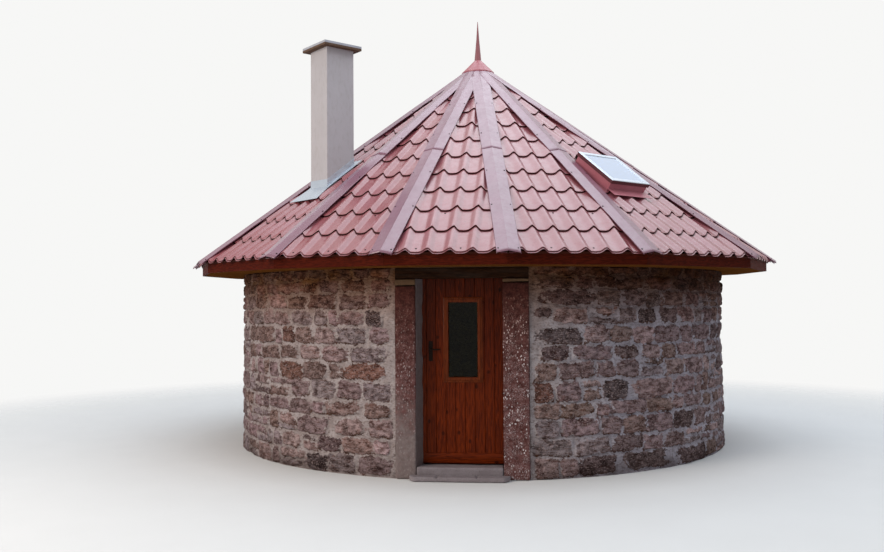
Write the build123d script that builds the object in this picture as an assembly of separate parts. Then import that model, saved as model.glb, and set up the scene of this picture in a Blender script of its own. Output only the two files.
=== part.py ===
# Round rubble-stone hut with a sixteen-sided sheet-tile roof, a chimney, a roof window and a
# plank door. Millimetres, +Z up. The origin is the hut's centre line at ground level, and -Y is
# the side that the door faces. Azimuths are in degrees from -Y, positive towards +X.

import os
from math import asin, atan, cos, degrees, radians, sin, tan

from build123d import *

# Clearances: board_gap between timbers that meet, seat where one piece lies on another
board_gap = 2
seat = 0.3

# Flats of a thin round bar, and of what is trimmed by straight cuts to the round wall
bar_sides = 12
round_cuts = 64

# Stone wall and floor
wall_outer_radius = 2867
wall_thickness = 500
wall_segments = 8
floor_top = 110
floor_gap = 3

# Doorway: red sandstone jambs with a mortar pad on each, a timber lintel and a stone threshold
door_azimuth = -3.3
door_opening = 815
door_opening_offset = -35
jamb_setback = 32
jamb_depth = 150
jamb_arris_radius = 14
left_jamb_width = 200
right_jamb_width = 250
left_pad_height = 65
right_pad_height = 38
lintel_height = 105
lintel_chamfer = 12
inner_lintel_height = 110
threshold_top = 115
threshold_behind_leaf = 90
threshold_chamfer = 10
doorstep_height = 50
doorstep_width = 950
doorstep_depth = 130
doorstep_worn_corner = 60

# Door and its frame, hung on the right and opening into the room
leaf_thickness = 45
leaf_lap = 10
leaf_head_lap = 12
leaf_clearance = 5
leaf_above_threshold = 10
door_boards = 9
board_groove_width = 6
board_groove_depth = 4
frame_width = 65
frame_head_height = 60
window_width = 278
window_height = 711
window_below_leaf_top = 236.5
window_offset = 27
window_moulding = 50
window_sleeve = 11
window_moulding_depth = 14
glass_thickness = 6
rail_height = 98
rail_proud = 10
rail_above_leaf_bottom = 5
handle_above_threshold = 1095
handle_inset = 135
handle_plate_width = 38
handle_plate_above = 76
handle_plate_below = 114
handle_plate_thickness = 4
handle_neck_length = 42
handle_neck_radius = 8
lever_length = 105
lever_radius = 8
hinge_end_inset = 252
hinge_length = 110
hinge_knuckle_radius = 7
hinge_axis_behind_leaf = 9
hinge_plate_width = 32
hinge_plate_thickness = 2.5
hinge_play = 0.5

# Roof form: sixteen faces, the shown ones uneven as they were set out, the others equal
first_hip_azimuth = -59.2
shown_face_angles = [23.9, 20.7, 18.8, 22.5, 28.0]
roof_sides = 16
eave_overhang = 593
eave_height = 2110
roof_rise = 2540
roof_top_radius = 130

# Roof covering: sheets pressed in rolls and in stepped tile courses, on a boarded deck
sheet_depth = 44
tile_course = 362
tile_step = 15
roll_pitch = 200
roll_height = 26
roll_crest = 26
roll_foot = 76
shown_roll_shifts = [-20, -75, 48, 54, 63]
deck_thickness = 24
hip_gap = 7

# Eave and roof timbers
sheet_past_fascia = 75
fascia_thickness = 25
fascia_drop = 125
soffit_thickness = 18
rafter_width = 70
rafter_depth = 140
birdsmouth_depth = 25
plate_setback = 147
plate_width = 150
hub_radius = 200
hub_height = 180
hub_below_deck = 40

# Hip caps in two lengths, top collar and finial
cap_flange = 108
cap_thickness = 4
cap_overhang = 38
cap_end_radius = 150
cap_lower_length = 2050
cap_lap = 120
collar_base_radius = 205
collar_top_radius = 48
collar_rise = 40
collar_lip = 14
finial_height = 500
finial_foot_radius = 44
finial_waist_radius = 19
finial_waist_height = 270
finial_tip_radius = 3

# Chimney
chimney_azimuth = -48.8
chimney_wall_gap = 51
chimney_width = 340
chimney_top = 4432
chimney_cap_thickness = 48
chimney_cap_overhang = 65
flue_diameter = 160
flue_depth = 900
shaft_clearance = 12
flashing_thickness = 3
flashing_upstand = 66
flashing_side = 28
flashing_above = 80
flashing_below = 240
flashing_flare = 57

# Roof window on the widest shown face
skylight_face = 4
skylight_from_hip = 96
skylight_low = 1119
skylight_width = 592
skylight_length = 584
skylight_kerb_inset = 16
skylight_kerb_height = 65
skylight_kerb_wall = 45
skylight_sash_height = 45
skylight_sash_wall = 52
skylight_glass_thickness = 14
skylight_glass_below_rim = 8
skylight_apron = 110
skylight_clearance = 3
skylight_hinge_width = 60
skylight_hinge_depth = 34
skylight_hinge_height = 40

wall_inner_radius = wall_outer_radius - wall_thickness
hip_radius = wall_outer_radius + eave_overhang
apex_height = eave_height + roof_rise
hip_slope = roof_rise / hip_radius
hip_lean = atan(hip_slope)
roof_build_up = sheet_depth + deck_thickness
seat_rise = seat / cos(hip_lean)
cap_rise = cap_thickness / cos(hip_lean)
fascia_hip_radius = hip_radius - sheet_past_fascia
fascia_bottom = eave_height - fascia_drop
soffit_top = fascia_bottom + soffit_thickness
plate_outer_radius = wall_outer_radius - plate_setback
chimney_radius = wall_inner_radius - chimney_wall_gap - chimney_width / 2
hidden_sides = roof_sides - len(shown_face_angles)
hidden_face_angle = (360 - sum(shown_face_angles)) / hidden_sides
face_angles = shown_face_angles + [hidden_face_angle] * hidden_sides
roll_shifts = shown_roll_shifts + [0] * hidden_sides
hip_azimuths = [first_hip_azimuth + sum(face_angles[:i]) for i in range(roof_sides)]
beyond = 3 * hip_radius


def compass(radius, azimuth, height=0.0):
    """Point at a radius and azimuth from the hut's centre line."""
    return Vector(radius * sin(radians(azimuth)), -radius * cos(radians(azimuth)), height)


def box(x0, x1, y0, y1, z0, z1):
    """Box between two corners."""
    size = Box(x1 - x0, y1 - y0, z1 - z0, align=(Align.MIN, Align.MIN, Align.MIN))
    return Pos(x0, y0, z0) * size


def prism(points, z0, z1):
    """Upright prism over a plan outline."""
    return Pos(0, 0, z0) * extrude(make_face(Polyline(*points, close=True)), z1 - z0, dir=(0, 0, 1))


def plan(point):
    return (point.X, point.Y)


def bar(radius, length):
    """Upright bar of a thin round section, about its middle."""
    return extrude(RegularPolygon(radius, bar_sides), length / 2, both=True)


# Stone wall, in segments that meet face to face, and the floor inside it


def wall_ring():
    return extrude(Circle(wall_outer_radius) - Circle(wall_inner_radius), wall_top, dir=(0, 0, 1))


def doorway_cut():
    """Everything that the jambs, the frame, the lintels and the way through take from the wall."""
    front = box(jambs_left, jambs_right, -beyond, jamb_back, -1, wall_top + 1)
    rear = box(frame_left, frame_right, jamb_back, -wall_inner_radius / 2, -1, wall_top + 1)
    return front + rear


def wall_segment(number):
    sector = 360 / wall_segments
    start = number * sector
    points = [(0, 0), plan(compass(beyond, start)), plan(compass(beyond, start + sector))]
    return at_door * ((wall_ring() & prism(points, 0, wall_top)) - doorway_cut())


def wall_over_door():
    block = wall_ring() & doorway_cut()
    block -= box(jambs_left, jambs_right, -beyond, jamb_back, -1, lintel_top)
    block -= box(frame_left, frame_right, jamb_back, 0, -1, inner_lintel_top)
    return at_door * block


def floor_slab():
    disc = extrude(RegularPolygon(wall_inner_radius - floor_gap, round_cuts), floor_top)
    sill_left = frame_left + floor_gap
    sill_right = frame_right - floor_gap
    sill = box(sill_left, sill_right, threshold_back, -wall_inner_radius / 2, 0, floor_top)
    return at_door * (disc + sill)


# Doorway stones and lintels


def jamb(x0, x1, top):
    """Upright stone with its two front arrises worn round."""
    stone = box(x0, x1, -jamb_front, jamb_back, 0, top)
    front = stone.edges().filter_by(Axis.Z).sort_by(Axis.Y)[:2]
    return at_door * fillet(front, jamb_arris_radius)


def jamb_pads():
    left = box(jambs_left, opening_left, -jamb_front, jamb_back, left_jamb_top, lintel_bottom)
    right = box(opening_right, jambs_right, -jamb_front, jamb_back, right_jamb_top, lintel_bottom)
    return Compound(children=[at_door * left, at_door * right])


def lintel():
    beam = box(jambs_left, jambs_right, -jamb_front, jamb_back, lintel_bottom, lintel_top)
    lower_front = beam.edges().filter_by(Axis.X).group_by(Axis.Z)[0].sort_by(Axis.Y)[0]
    return at_door * chamfer(lower_front, lintel_chamfer)


def inner_lintel():
    beam = box(frame_left, frame_right, jamb_back, 0, inner_lintel_bottom, inner_lintel_top)
    return at_door * (beam & wall_ring())


def threshold():
    stone = box(opening_left, opening_right, -jamb_front, threshold_back, 0, threshold_top)
    upper_front = stone.edges().filter_by(Axis.X).group_by(Axis.Z)[-1].sort_by(Axis.Y)[0]
    return at_door * chamfer(upper_front, threshold_chamfer)


def doorstep():
    """Flat stone before the threshold, with both outer corners worn off."""
    left = door_opening_offset - doorstep_width / 2
    right = door_opening_offset + doorstep_width / 2
    outer = -jamb_front - doorstep_depth
    outline = [
        (left, -jamb_front),
        (left, outer + doorstep_worn_corner),
        (left + 2 * doorstep_worn_corner, outer),
        (right - doorstep_worn_corner, outer),
        (right, outer + doorstep_worn_corner),
        (right, -jamb_front),
    ]
    return at_door * prism(outline, 0, doorstep_height)


# Door, its frame and its hinges


def door_frame():
    ring = box(frame_left, frame_right, jamb_back, leaf_inner, threshold_top, inner_lintel_bottom)
    light_left = frame_left + frame_width
    light_right = frame_right - frame_width
    return at_door * (ring - box(light_left, light_right, -beyond, 0, 0, frame_head_bottom))


def door_leaf():
    """Boarded leaf with a groove at each board joint and a cut for the window."""
    leaf = box(leaf_left, leaf_right, leaf_outer, leaf_inner, leaf_bottom, leaf_top)
    board = (leaf_right - leaf_left) / door_boards
    for joint in range(1, door_boards):
        x = leaf_left + joint * board
        half = board_groove_width / 2
        leaf -= box(x - half, x + half, leaf_outer - 1, leaf_outer + board_groove_depth, 0, beyond)
    return at_door * (leaf - window_block(window_sleeve, leaf_outer - 1, leaf_inner + 1))


def window_block(grow, y0, y1):
    """Block over the door's glass, grown outwards from it."""
    half = window_width / 2 + grow
    x = door_opening_offset + window_offset
    return box(x - half, x + half, y0, y1, window_bottom - grow, window_top + grow)


def door_window_frame():
    outer = window_block(window_moulding, leaf_outer - window_moulding_depth, leaf_outer)
    sleeve = window_block(window_sleeve, leaf_outer - 1, leaf_inner + 1)
    inner = window_block(window_moulding, leaf_inner, leaf_inner + window_moulding_depth)
    return at_door * (outer + sleeve + inner - window_block(0, -beyond, 0))


def door_glass():
    y = (leaf_outer + leaf_inner - glass_thickness) / 2
    return at_door * window_block(0, y, y + glass_thickness)


def door_rail():
    low = leaf_bottom + rail_above_leaf_bottom
    left = opening_left + leaf_clearance
    right = opening_right - leaf_clearance
    return at_door * box(left, right, leaf_outer - rail_proud, leaf_outer, low, low + rail_height)


def door_handle():
    """A plate, a neck and a lever on each side of the leaf."""
    x = leaf_left + handle_inset
    z = threshold_top + handle_above_threshold
    half = handle_plate_width / 2
    sides = []
    for face_y, way in ((leaf_outer, -1), (leaf_inner, 1)):
        plate_y = sorted((face_y, face_y + way * handle_plate_thickness))
        lever_y = face_y + way * handle_neck_length
        plate = box(x - half, x + half, *plate_y, z - handle_plate_below, z + handle_plate_above)
        neck = Rot(90, 0, 0) * bar(handle_neck_radius, handle_neck_length)
        neck = Pos(x, (face_y + lever_y) / 2, z) * neck
        lever = Rot(0, 90, 0) * bar(lever_radius, lever_length)
        lever = Pos(x + lever_length / 2 - lever_radius, lever_y, z) * lever
        sides.append(at_door * (plate + neck + lever))
    return Compound(children=sides)


def hinge_plate(z0, z1, way):
    """Hinge plate on the inner face of the leaf (way -1) or of the frame (way 1), with its knuckle."""
    knuckle = Pos(hinge_x, hinge_y, (z0 + z1) / 2) * bar(hinge_knuckle_radius, z1 - z0)
    turn = leaf_clearance / 2 + hinge_play
    near = hinge_x + way * turn
    crank = sorted((near, near + way * hinge_plate_thickness))
    flat = sorted((near, hinge_x + way * hinge_plate_width))
    plate = box(*flat, leaf_inner, leaf_inner + hinge_plate_thickness, z0, z1)
    plate += box(*crank, leaf_inner, hinge_y, z0, z1)
    return at_door * (plate + knuckle)


def hinges(way):
    """The leaf's middle knuckles (way -1), or the frame's upper and lower ones (way 1)."""
    third = hinge_length / 3
    plates = []
    for z in hinge_heights:
        if way < 0:
            plates.append(hinge_plate(z - third / 2 + hinge_play, z + third / 2 - hinge_play, way))
        else:
            plates.append(hinge_plate(z + third / 2, z + 1.5 * third, way))
            plates.append(hinge_plate(z - 1.5 * third, z - third / 2, way))
    return Compound(children=plates)


# Roof faces: sheets and boards in strips where the chimney or the roof window passes through


class RoofFace:
    """One roof face: its frame lies on the crests of the sheets, x along the eave, y up the slope."""

    def __init__(self, index):
        self.left_azimuth = hip_azimuths[index]
        self.angle = face_angles[index]
        left = compass(hip_radius, self.left_azimuth, eave_height)
        right = compass(hip_radius, self.left_azimuth + self.angle, eave_height)
        middle = (left + right) * 0.5
        along = (right - left).normalized()
        rise = Vector(0, 0, apex_height) - middle
        up = rise.normalized()
        self.width = (right - left).length
        self.slant = rise.length
        self.apothem = hip_radius * cos(radians(self.angle / 2))
        self.slope = asin(up.Z)
        self.lean = atan(self.width / 2 / self.slant)
        self.plane = Plane(origin=middle, x_dir=along, z_dir=along.cross(up))
        self.azimuth = self.left_azimuth + self.angle / 2
        self.roll_shift = roll_shifts[index]

    def up_slope(self, radius, depth=0.0):
        """Distance up the slope where a plane below the crests crosses a radius."""
        inward = self.apothem - radius
        return (inward - depth * sin(self.slope)) / cos(self.slope)

    def half_width(self, y, depth=0.0):
        """Half the face's width at y, to the upright planes through its hips."""
        inward = y * cos(self.slope) + depth * sin(self.slope)
        return self.width / 2 * (1 - inward / self.apothem)

    def place(self, shape):
        return self.plane.location * shape

    def trapezoid(self, low, top_depth, thickness):
        """Plate parallel to the face, stopping short of the hips and below the collar."""
        bottom = top_depth + thickness
        high = self.up_slope(roof_top_radius, bottom)
        low_half = self.half_width(low, bottom) - hip_gap
        high_half = self.half_width(high, bottom) - hip_gap
        outline = [(-low_half, low), (low_half, low), (high_half, high), (-high_half, high)]
        return prism(outline, -bottom, -top_depth)

    def pans(self, high):
        """Courses of pans, each falling from its raised front edge to the next one's."""
        profile = [(0, -sheet_depth)]
        front = 0
        while front < high:
            back = min(front + tile_course, high)
            fall = tile_step * (back - front) / tile_course
            profile += [(front, -roll_height), (back, -roll_height - fall)]
            front += tile_course
        profile.append((high, -sheet_depth))
        return extrude(Plane.YZ * make_face(Polyline(*profile, close=True)), self.width, both=True)

    def tile_sheet(self):
        """Sheet of stepped pans with rolls between them, which run from the eave to the top."""
        high = self.up_slope(roof_top_radius, sheet_depth)
        sheet = self.pans(high)
        crest = roll_crest / 2
        foot = roll_foot / 2
        profile = [(-foot, -sheet_depth), (foot, -sheet_depth), (crest, 0), (-crest, 0)]
        roll = extrude(Plane.XZ * make_face(Polyline(*profile, close=True)), -high)
        count = int(self.width / 2 / roll_pitch) + 1
        for number in range(-count, count + 1):
            x = self.roll_shift + number * roll_pitch
            if abs(x) < self.width / 2:
                sheet += Pos(x, 0) * roll
        return sheet & self.trapezoid(0, 0, sheet_depth)

    def deck(self):
        low_radius = fascia_hip_radius * cos(radians(self.angle / 2))
        low = self.up_slope(low_radius, roof_build_up)
        return self.trapezoid(low, sheet_depth, deck_thickness)


faces = [RoofFace(i) for i in range(roof_sides)]
chimney_face = faces[0]
window_face = faces[skylight_face]


def around_hole(plate, x0, x1, y0, y1):
    """The strips of a sheet or deck that lie below, beside and above a rectangular hole."""
    joint = board_gap / 2
    zones = [
        (-beyond, beyond, -beyond, y0 - joint),
        (-beyond, x0, y0 + joint, y1 - joint),
        (x1, beyond, y0 + joint, y1 - joint),
        (-beyond, beyond, y1 + joint, beyond),
    ]
    strips = []
    for zone in zones:
        strips += (plate & box(*zone, -beyond, beyond)).solids()
    return strips


def chimney_hole(top_depth, thickness):
    """Rectangle in the chimney face's frame that clears the upright shaft."""
    turn = radians(chimney_azimuth - chimney_face.azimuth)
    reach = chimney_width / 2 * (cos(turn) + abs(sin(turn))) + shaft_clearance
    x = chimney_radius * sin(turn)
    radius = chimney_radius * cos(turn)
    low = chimney_face.up_slope(radius + reach, top_depth + thickness)
    high = chimney_face.up_slope(radius - reach, top_depth)
    return x - reach, x + reach, low, high


def skylight_edges(inset):
    """Sides and ends of the roof window's outline in its face's frame, inset all round."""
    high = skylight_low + skylight_length
    left = skylight_from_hip - window_face.half_width(high)
    return left + inset, left + skylight_width - inset, skylight_low + inset, high - inset


def in_strips(face, plate, top_depth, thickness):
    if face is chimney_face:
        strips = around_hole(plate, *chimney_hole(top_depth, thickness))
    elif face is window_face:
        strips = around_hole(plate, *skylight_edges(skylight_kerb_inset - skylight_clearance))
    else:
        strips = [plate]
    return [face.place(strip) for strip in strips]


def roof_tiles(indices):
    solids = []
    for i in indices:
        solids += in_strips(faces[i], faces[i].tile_sheet(), 0, sheet_depth)
    return Compound(children=solids)


def roof_boards():
    solids = []
    for face in faces:
        solids += in_strips(face, face.deck(), sheet_depth, deck_thickness)
    return Compound(children=solids)


# Hip caps, collar and finial


def cap_half(face, side, start, end):
    """One flange of a hip cap between two lengths along the fold, on one side of the hip."""

    def on_face(along, across):
        x = face.width / 2 - along * sin(face.lean) - across * cos(face.lean)
        return (x, along * cos(face.lean) - across * sin(face.lean))

    corners = [on_face(start, 0), on_face(end, 0), on_face(end, cap_flange), on_face(start, cap_flange)]
    flange = make_face(Polyline(*[(side * x, y) for x, y in corners], close=True))
    own_half = [(0, -beyond), (side * beyond, -beyond), (side * beyond, beyond), (0, beyond)]
    own_half = Pos(side * board_gap, 0) * make_face(Polyline(*own_half, close=True))
    return extrude(face.place(flange & own_half), cap_rise, dir=(0, 0, 1))


def hip_cap(index):
    """Folded cap over one hip in two lengths, the upper lapping over the lower."""
    hip_length = (hip_radius**2 + roof_rise**2) ** 0.5
    top_end = hip_length * (1 - cap_end_radius / hip_radius)
    lengths = [
        (-cap_overhang, cap_lower_length, seat_rise),
        (cap_lower_length - cap_lap, top_end, 2 * seat_rise + cap_rise),
    ]
    caps = []
    for start, end, lift in lengths:
        left = cap_half(faces[index - 1], 1, start, end)
        right = cap_half(faces[index], -1, start, end)
        caps.append(Pos(0, 0, lift) * (left + right))
    return caps


def hip_caps():
    return Compound(children=[cap for i in range(roof_sides) for cap in hip_cap(i)])


def hip_ring(radius, height):
    return [compass(radius, azimuth, height) for azimuth in hip_azimuths]


def pyramid(radius, base, peak):
    """Pyramid over the hips' polygon."""
    ring = hip_ring(radius, base)
    tip = Vector(0, 0, peak)
    sides = [Face(Wire.make_polygon([ring[i - 1], ring[i], tip])) for i in range(roof_sides)]
    return Solid(Shell(sides + [Face(Wire.make_polygon(ring))]))


def frustum(base_radius, base, top_radius, top):
    """Pyramid over the hips' polygon with its peak cut off level."""
    peak = base + (top - base) * base_radius / (base_radius - top_radius)
    return pyramid(base_radius, base, peak) - box(-beyond, beyond, -beyond, beyond, top, peak + 1)


def ridge_collar():
    """Folded collar over the tops of the hip caps, hollow underneath."""
    lip = prism([plan(p) for p in hip_ring(collar_base_radius, 0)], collar_base, collar_base + collar_lip)
    hood = frustum(collar_base_radius, collar_base + collar_lip, collar_top_radius, collar_top)
    roof_below = pyramid(hip_radius, caps_peak - roof_rise, caps_peak)
    return lip + hood - roof_below


def finial():
    """Slender spike of folded sheet, tapering faster near its foot."""
    waist = collar_top + finial_waist_height
    lower = frustum(finial_foot_radius, collar_top, finial_waist_radius, waist)
    upper = frustum(finial_waist_radius, waist, finial_tip_radius, collar_top + finial_height)
    return lower + upper


# Roof timbers and eave boards


def rafter_drop(index):
    """How far below the crest line of a hip the rafter's top arrises run."""
    drops = []
    for face in (faces[index - 1], faces[index]):
        fall = rafter_width / 2 * sin(radians(face.angle / 2)) * tan(face.slope)
        drops.append(fall + roof_build_up / cos(face.slope))
    return max(drops) + seat


deepest_rafter_drop = max(rafter_drop(i) for i in range(roof_sides))


def rafter_bottom(radius):
    plumb_depth = rafter_depth / cos(hip_lean)
    return apex_height - radius * hip_slope - deepest_rafter_drop - plumb_depth


def rafter(index):
    """Hip rafter from behind the fascia to the hub, notched over the wall plate."""
    half_angle = radians(max(face_angles[index - 1], face_angles[index]) / 2)
    outer = fascia_hip_radius - fascia_thickness / cos(half_angle)
    outer -= rafter_width / 2 * tan(half_angle) + seat
    inner = hub_radius + seat
    top = [(r, apex_height - r * hip_slope - rafter_drop(index)) for r in (outer, inner)]
    bottom = [(r, rafter_bottom(r)) for r in (inner, outer)]
    side = make_face(Plane.XZ * Polyline(*(top + bottom), close=True))
    beam = Pos(0, rafter_width / 2, 0) * extrude(side, rafter_width, dir=(0, -1, 0))
    beam -= box(0, beyond, -beyond, beyond, 0, soffit_top + seat)
    notch_inner = plate_outer_radius - plate_width - board_gap
    notch_outer = plate_outer_radius + board_gap
    beam -= box(notch_inner, notch_outer, -beyond, beyond, 0, plate_top)
    return Rot(0, 0, hip_azimuths[index] - 90) * beam


def rafters():
    return Compound(children=[rafter(i) for i in range(roof_sides)])


def rafter_hub():
    """Post with a flat for each rafter's end, hung between them under the peak."""
    top = apex_height - hub_radius * hip_slope - deepest_rafter_drop - hub_below_deck
    corners = []
    for azimuth, angle in zip(hip_azimuths, face_angles):
        corners.append(plan(compass(hub_radius / cos(radians(angle / 2)), azimuth + angle / 2)))
    return prism(corners, top - hub_height, top)


def mitred_board(face, outer, inner, low, high):
    """Straight timber under one face, mitred at the hips, between two hip radii."""
    joint = degrees(board_gap / 2 / outer)
    a = face.left_azimuth + joint
    b = face.left_azimuth + face.angle - joint
    corners = [compass(outer, a), compass(outer, b), compass(inner, b), compass(inner, a)]
    return prism([plan(corner) for corner in corners], low, high)


def wall_plate():
    inner = plate_outer_radius - plate_width
    timbers = [mitred_board(face, plate_outer_radius, inner, wall_top, plate_top) for face in faces]
    return Compound(children=timbers)


def fascia():
    boards = []
    for face in faces:
        deck_low = face.up_slope(fascia_hip_radius * cos(radians(face.angle / 2)), roof_build_up)
        top = eave_height + deck_low * sin(face.slope) - roof_build_up * cos(face.slope) - seat
        inner = fascia_hip_radius - fascia_thickness / cos(radians(face.angle / 2))
        boards.append(mitred_board(face, fascia_hip_radius, inner, fascia_bottom, top))
    return Compound(children=boards)


def soffit():
    """Level boarding under the eave, from the wall's face to the fascia."""
    wall = RegularPolygon(wall_outer_radius + seat, round_cuts, major_radius=False)
    wall = extrude(wall, beyond)
    panels = []
    for face in faces:
        outer = fascia_hip_radius - fascia_thickness / cos(radians(face.angle / 2)) - seat
        panel = mitred_board(face, outer, wall_inner_radius, fascia_bottom, soffit_top)
        panels += (panel - wall).solids()
    return Compound(children=panels)


# Chimney


def chimney_shaft():
    half = chimney_width / 2
    shaft = box(-half, half, -half, half, floor_top, chimney_top)
    shaft -= Pos(0, 0, chimney_top - flue_depth / 2) * Cylinder(flue_diameter / 2, flue_depth)
    return at_chimney * shaft


def chimney_cap():
    half = chimney_width / 2 + chimney_cap_overhang
    slab = box(-half, half, -half, half, chimney_top, chimney_top + chimney_cap_thickness)
    flue = Pos(0, 0, chimney_top) * Cylinder(flue_diameter / 2, 2 * flue_depth)
    return at_chimney * (slab - flue)


def chimney_flashing():
    """Sheet skirt on the tiles around the shaft, turned up against it and trimmed at the hip caps."""
    left, right, low, high = chimney_hole(0, 0)
    skirt = [
        (left - flashing_side, high + flashing_above),
        (left - flashing_side, low),
        (left - flashing_flare - flashing_side, low - flashing_below),
        (right + flashing_flare + flashing_side, low - flashing_below),
        (right + flashing_side, low),
        (right + flashing_side, high + flashing_above),
    ]
    sheet = prism(skirt, seat, seat + flashing_thickness)
    cap_reach = cap_flange / cos(chimney_face.lean) + board_gap
    foot = chimney_face.half_width(0) - cap_reach
    peak = foot * chimney_face.slant / chimney_face.half_width(0)
    sheet &= prism([(-foot, 0), (foot, 0), (0, peak)], 0, beyond)
    sheet = chimney_face.place(sheet)
    half = chimney_width / 2 + seat
    outer = half + flashing_thickness
    upstand = at_chimney * box(-outer, outer, -outer, outer, 0, chimney_top)
    reach = (-chimney_width, chimney_width, low - chimney_width, high + chimney_width)
    upstand &= chimney_face.place(box(*reach, seat, seat + flashing_upstand))
    return sheet + upstand - at_chimney * box(-half, half, -half, half, 0, chimney_top)


# Roof window


def skylight_ring(inset, wall, z0, z1):
    x0, x1, y0, y1 = skylight_edges(inset)
    light = skylight_edges(inset + wall)
    return box(x0, x1, y0, y1, z0, z1) - box(*light, -beyond, beyond)


def skylight_frame():
    """Kerb through the roof, with an apron over the course below it."""
    kerb = skylight_ring(skylight_kerb_inset, skylight_kerb_wall, -roof_build_up, skylight_kerb_height)
    x0, x1, y0, y1 = skylight_edges(0)
    apron_top = y0 + skylight_kerb_inset + seat
    apron = box(x0, x1, y0 - skylight_apron, apron_top, seat, seat + flashing_thickness)
    return window_face.place(kerb + apron)


def skylight_sash():
    top = skylight_kerb_height + skylight_sash_height
    return window_face.place(skylight_ring(0, skylight_sash_wall, skylight_kerb_height, top))


def skylight_glass():
    top = skylight_kerb_height + skylight_sash_height - skylight_glass_below_rim
    pane = box(*skylight_edges(skylight_sash_wall), top - skylight_glass_thickness, top)
    return window_face.place(pane)


def skylight_hinges():
    """Covers of the two hinges at the upper end of the sash."""
    x0, x1, y0, y1 = skylight_edges(skylight_kerb_inset)
    top = skylight_kerb_height
    covers = []
    for left in (x0, x1 - skylight_hinge_width):
        right = left + skylight_hinge_width
        cover = box(left, right, y1, y1 + skylight_hinge_depth, top - skylight_hinge_height, top)
        covers.append(window_face.place(cover))
    return Compound(children=covers)


wall_top = rafter_bottom(wall_outer_radius) - board_gap
plate_top = rafter_bottom(plate_outer_radius) + birdsmouth_depth
caps_peak = apex_height + 2 * cap_rise + 3 * seat_rise
collar_base = caps_peak - collar_base_radius * hip_slope
collar_top = caps_peak - collar_top_radius * hip_slope + collar_lip + collar_rise

opening_left = door_opening_offset - door_opening / 2
opening_right = door_opening_offset + door_opening / 2
jamb_front = wall_outer_radius - jamb_setback
jamb_back = -jamb_front + jamb_depth
jambs_left = opening_left - left_jamb_width
jambs_right = opening_right + right_jamb_width
lintel_top = fascia_bottom - board_gap
lintel_bottom = lintel_top - lintel_height
left_jamb_top = lintel_bottom - left_pad_height
right_jamb_top = lintel_bottom - right_pad_height

leaf_left = opening_left - leaf_lap
leaf_right = opening_right + leaf_lap
leaf_outer = jamb_back + leaf_clearance
leaf_inner = leaf_outer + leaf_thickness
leaf_bottom = threshold_top + leaf_above_threshold
leaf_top = lintel_bottom + leaf_head_lap
threshold_back = leaf_inner + threshold_behind_leaf
frame_left = leaf_left - leaf_clearance - frame_width
frame_right = leaf_right + leaf_clearance + frame_width
frame_head_bottom = leaf_top + leaf_clearance
inner_lintel_bottom = frame_head_bottom + frame_head_height
inner_lintel_top = inner_lintel_bottom + inner_lintel_height
window_top = leaf_top - window_below_leaf_top
window_bottom = window_top - window_height
hinge_x = leaf_right + leaf_clearance / 2
hinge_y = leaf_inner + hinge_axis_behind_leaf
lowest_hinge = leaf_bottom + hinge_end_inset
highest_hinge = leaf_top - hinge_end_inset
hinge_heights = [lowest_hinge, (lowest_hinge + highest_hinge) / 2, highest_hinge]

at_door = Rot(0, 0, door_azimuth)
at_chimney = Pos(compass(chimney_radius, chimney_azimuth)) * Rot(0, 0, chimney_azimuth)

wall_names = [
    "wall_front_right",
    "wall_right_front",
    "wall_right_back",
    "wall_back_right",
    "wall_back_left",
    "wall_left_back",
    "wall_left_front",
    "wall_front_left",
]

parts = {"floor_slab": floor_slab()}
for number, name in enumerate(wall_names):
    parts[name] = wall_segment(number)
parts["wall_over_door"] = wall_over_door()
parts["jamb_left"] = jamb(jambs_left, opening_left, left_jamb_top)
parts["jamb_right"] = jamb(opening_right, jambs_right, right_jamb_top)
parts["jamb_pads"] = jamb_pads()
parts["lintel"] = lintel()
parts["inner_lintel"] = inner_lintel()
parts["threshold"] = threshold()
parts["doorstep"] = doorstep()
parts["door_frame"] = door_frame()
parts["frame_hinges"] = hinges(1)
parts["door_leaf"] = door_leaf()
parts["door_rail"] = door_rail()
parts["door_window_frame"] = door_window_frame()
parts["door_glass"] = door_glass()
parts["door_handle"] = door_handle()
parts["door_hinges"] = hinges(-1)
parts["wall_plate"] = wall_plate()
parts["rafters"] = rafters()
parts["rafter_hub"] = rafter_hub()
parts["roof_boards"] = roof_boards()
parts["roof_tiles_left"] = roof_tiles([13, 14, 15, 0])
parts["roof_tiles_front"] = roof_tiles([1, 2, 3])
parts["roof_tiles_right"] = roof_tiles([4, 5, 6, 7])
parts["roof_tiles_back"] = roof_tiles([8, 9, 10, 11, 12])
parts["hip_caps"] = hip_caps()
parts["ridge_collar"] = ridge_collar()
parts["finial"] = finial()
parts["fascia_boards"] = fascia()
parts["soffit_boards"] = soffit()
parts["chimney_shaft"] = chimney_shaft()
parts["chimney_cap"] = chimney_cap()
parts["chimney_flashing"] = chimney_flashing()
parts["skylight_frame"] = skylight_frame()
parts["skylight_sash"] = skylight_sash()
parts["skylight_glass"] = skylight_glass()
parts["skylight_hinges"] = skylight_hinges()

os.makedirs("parts", exist_ok=True)
for name, shape in parts.items():
    export_step(shape, f"parts/{name}.step")
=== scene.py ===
# Round rubble-stone hut under a sixteen-sided roof of pressed sheet tiles, dressed around its packed
# CAD model. Metres, +Z up, the door faces -Y. Azimuths are in degrees from -Y, positive towards +X.

import random
from itertools import product
from math import asin, atan, cos, pi, radians, sin

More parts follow.
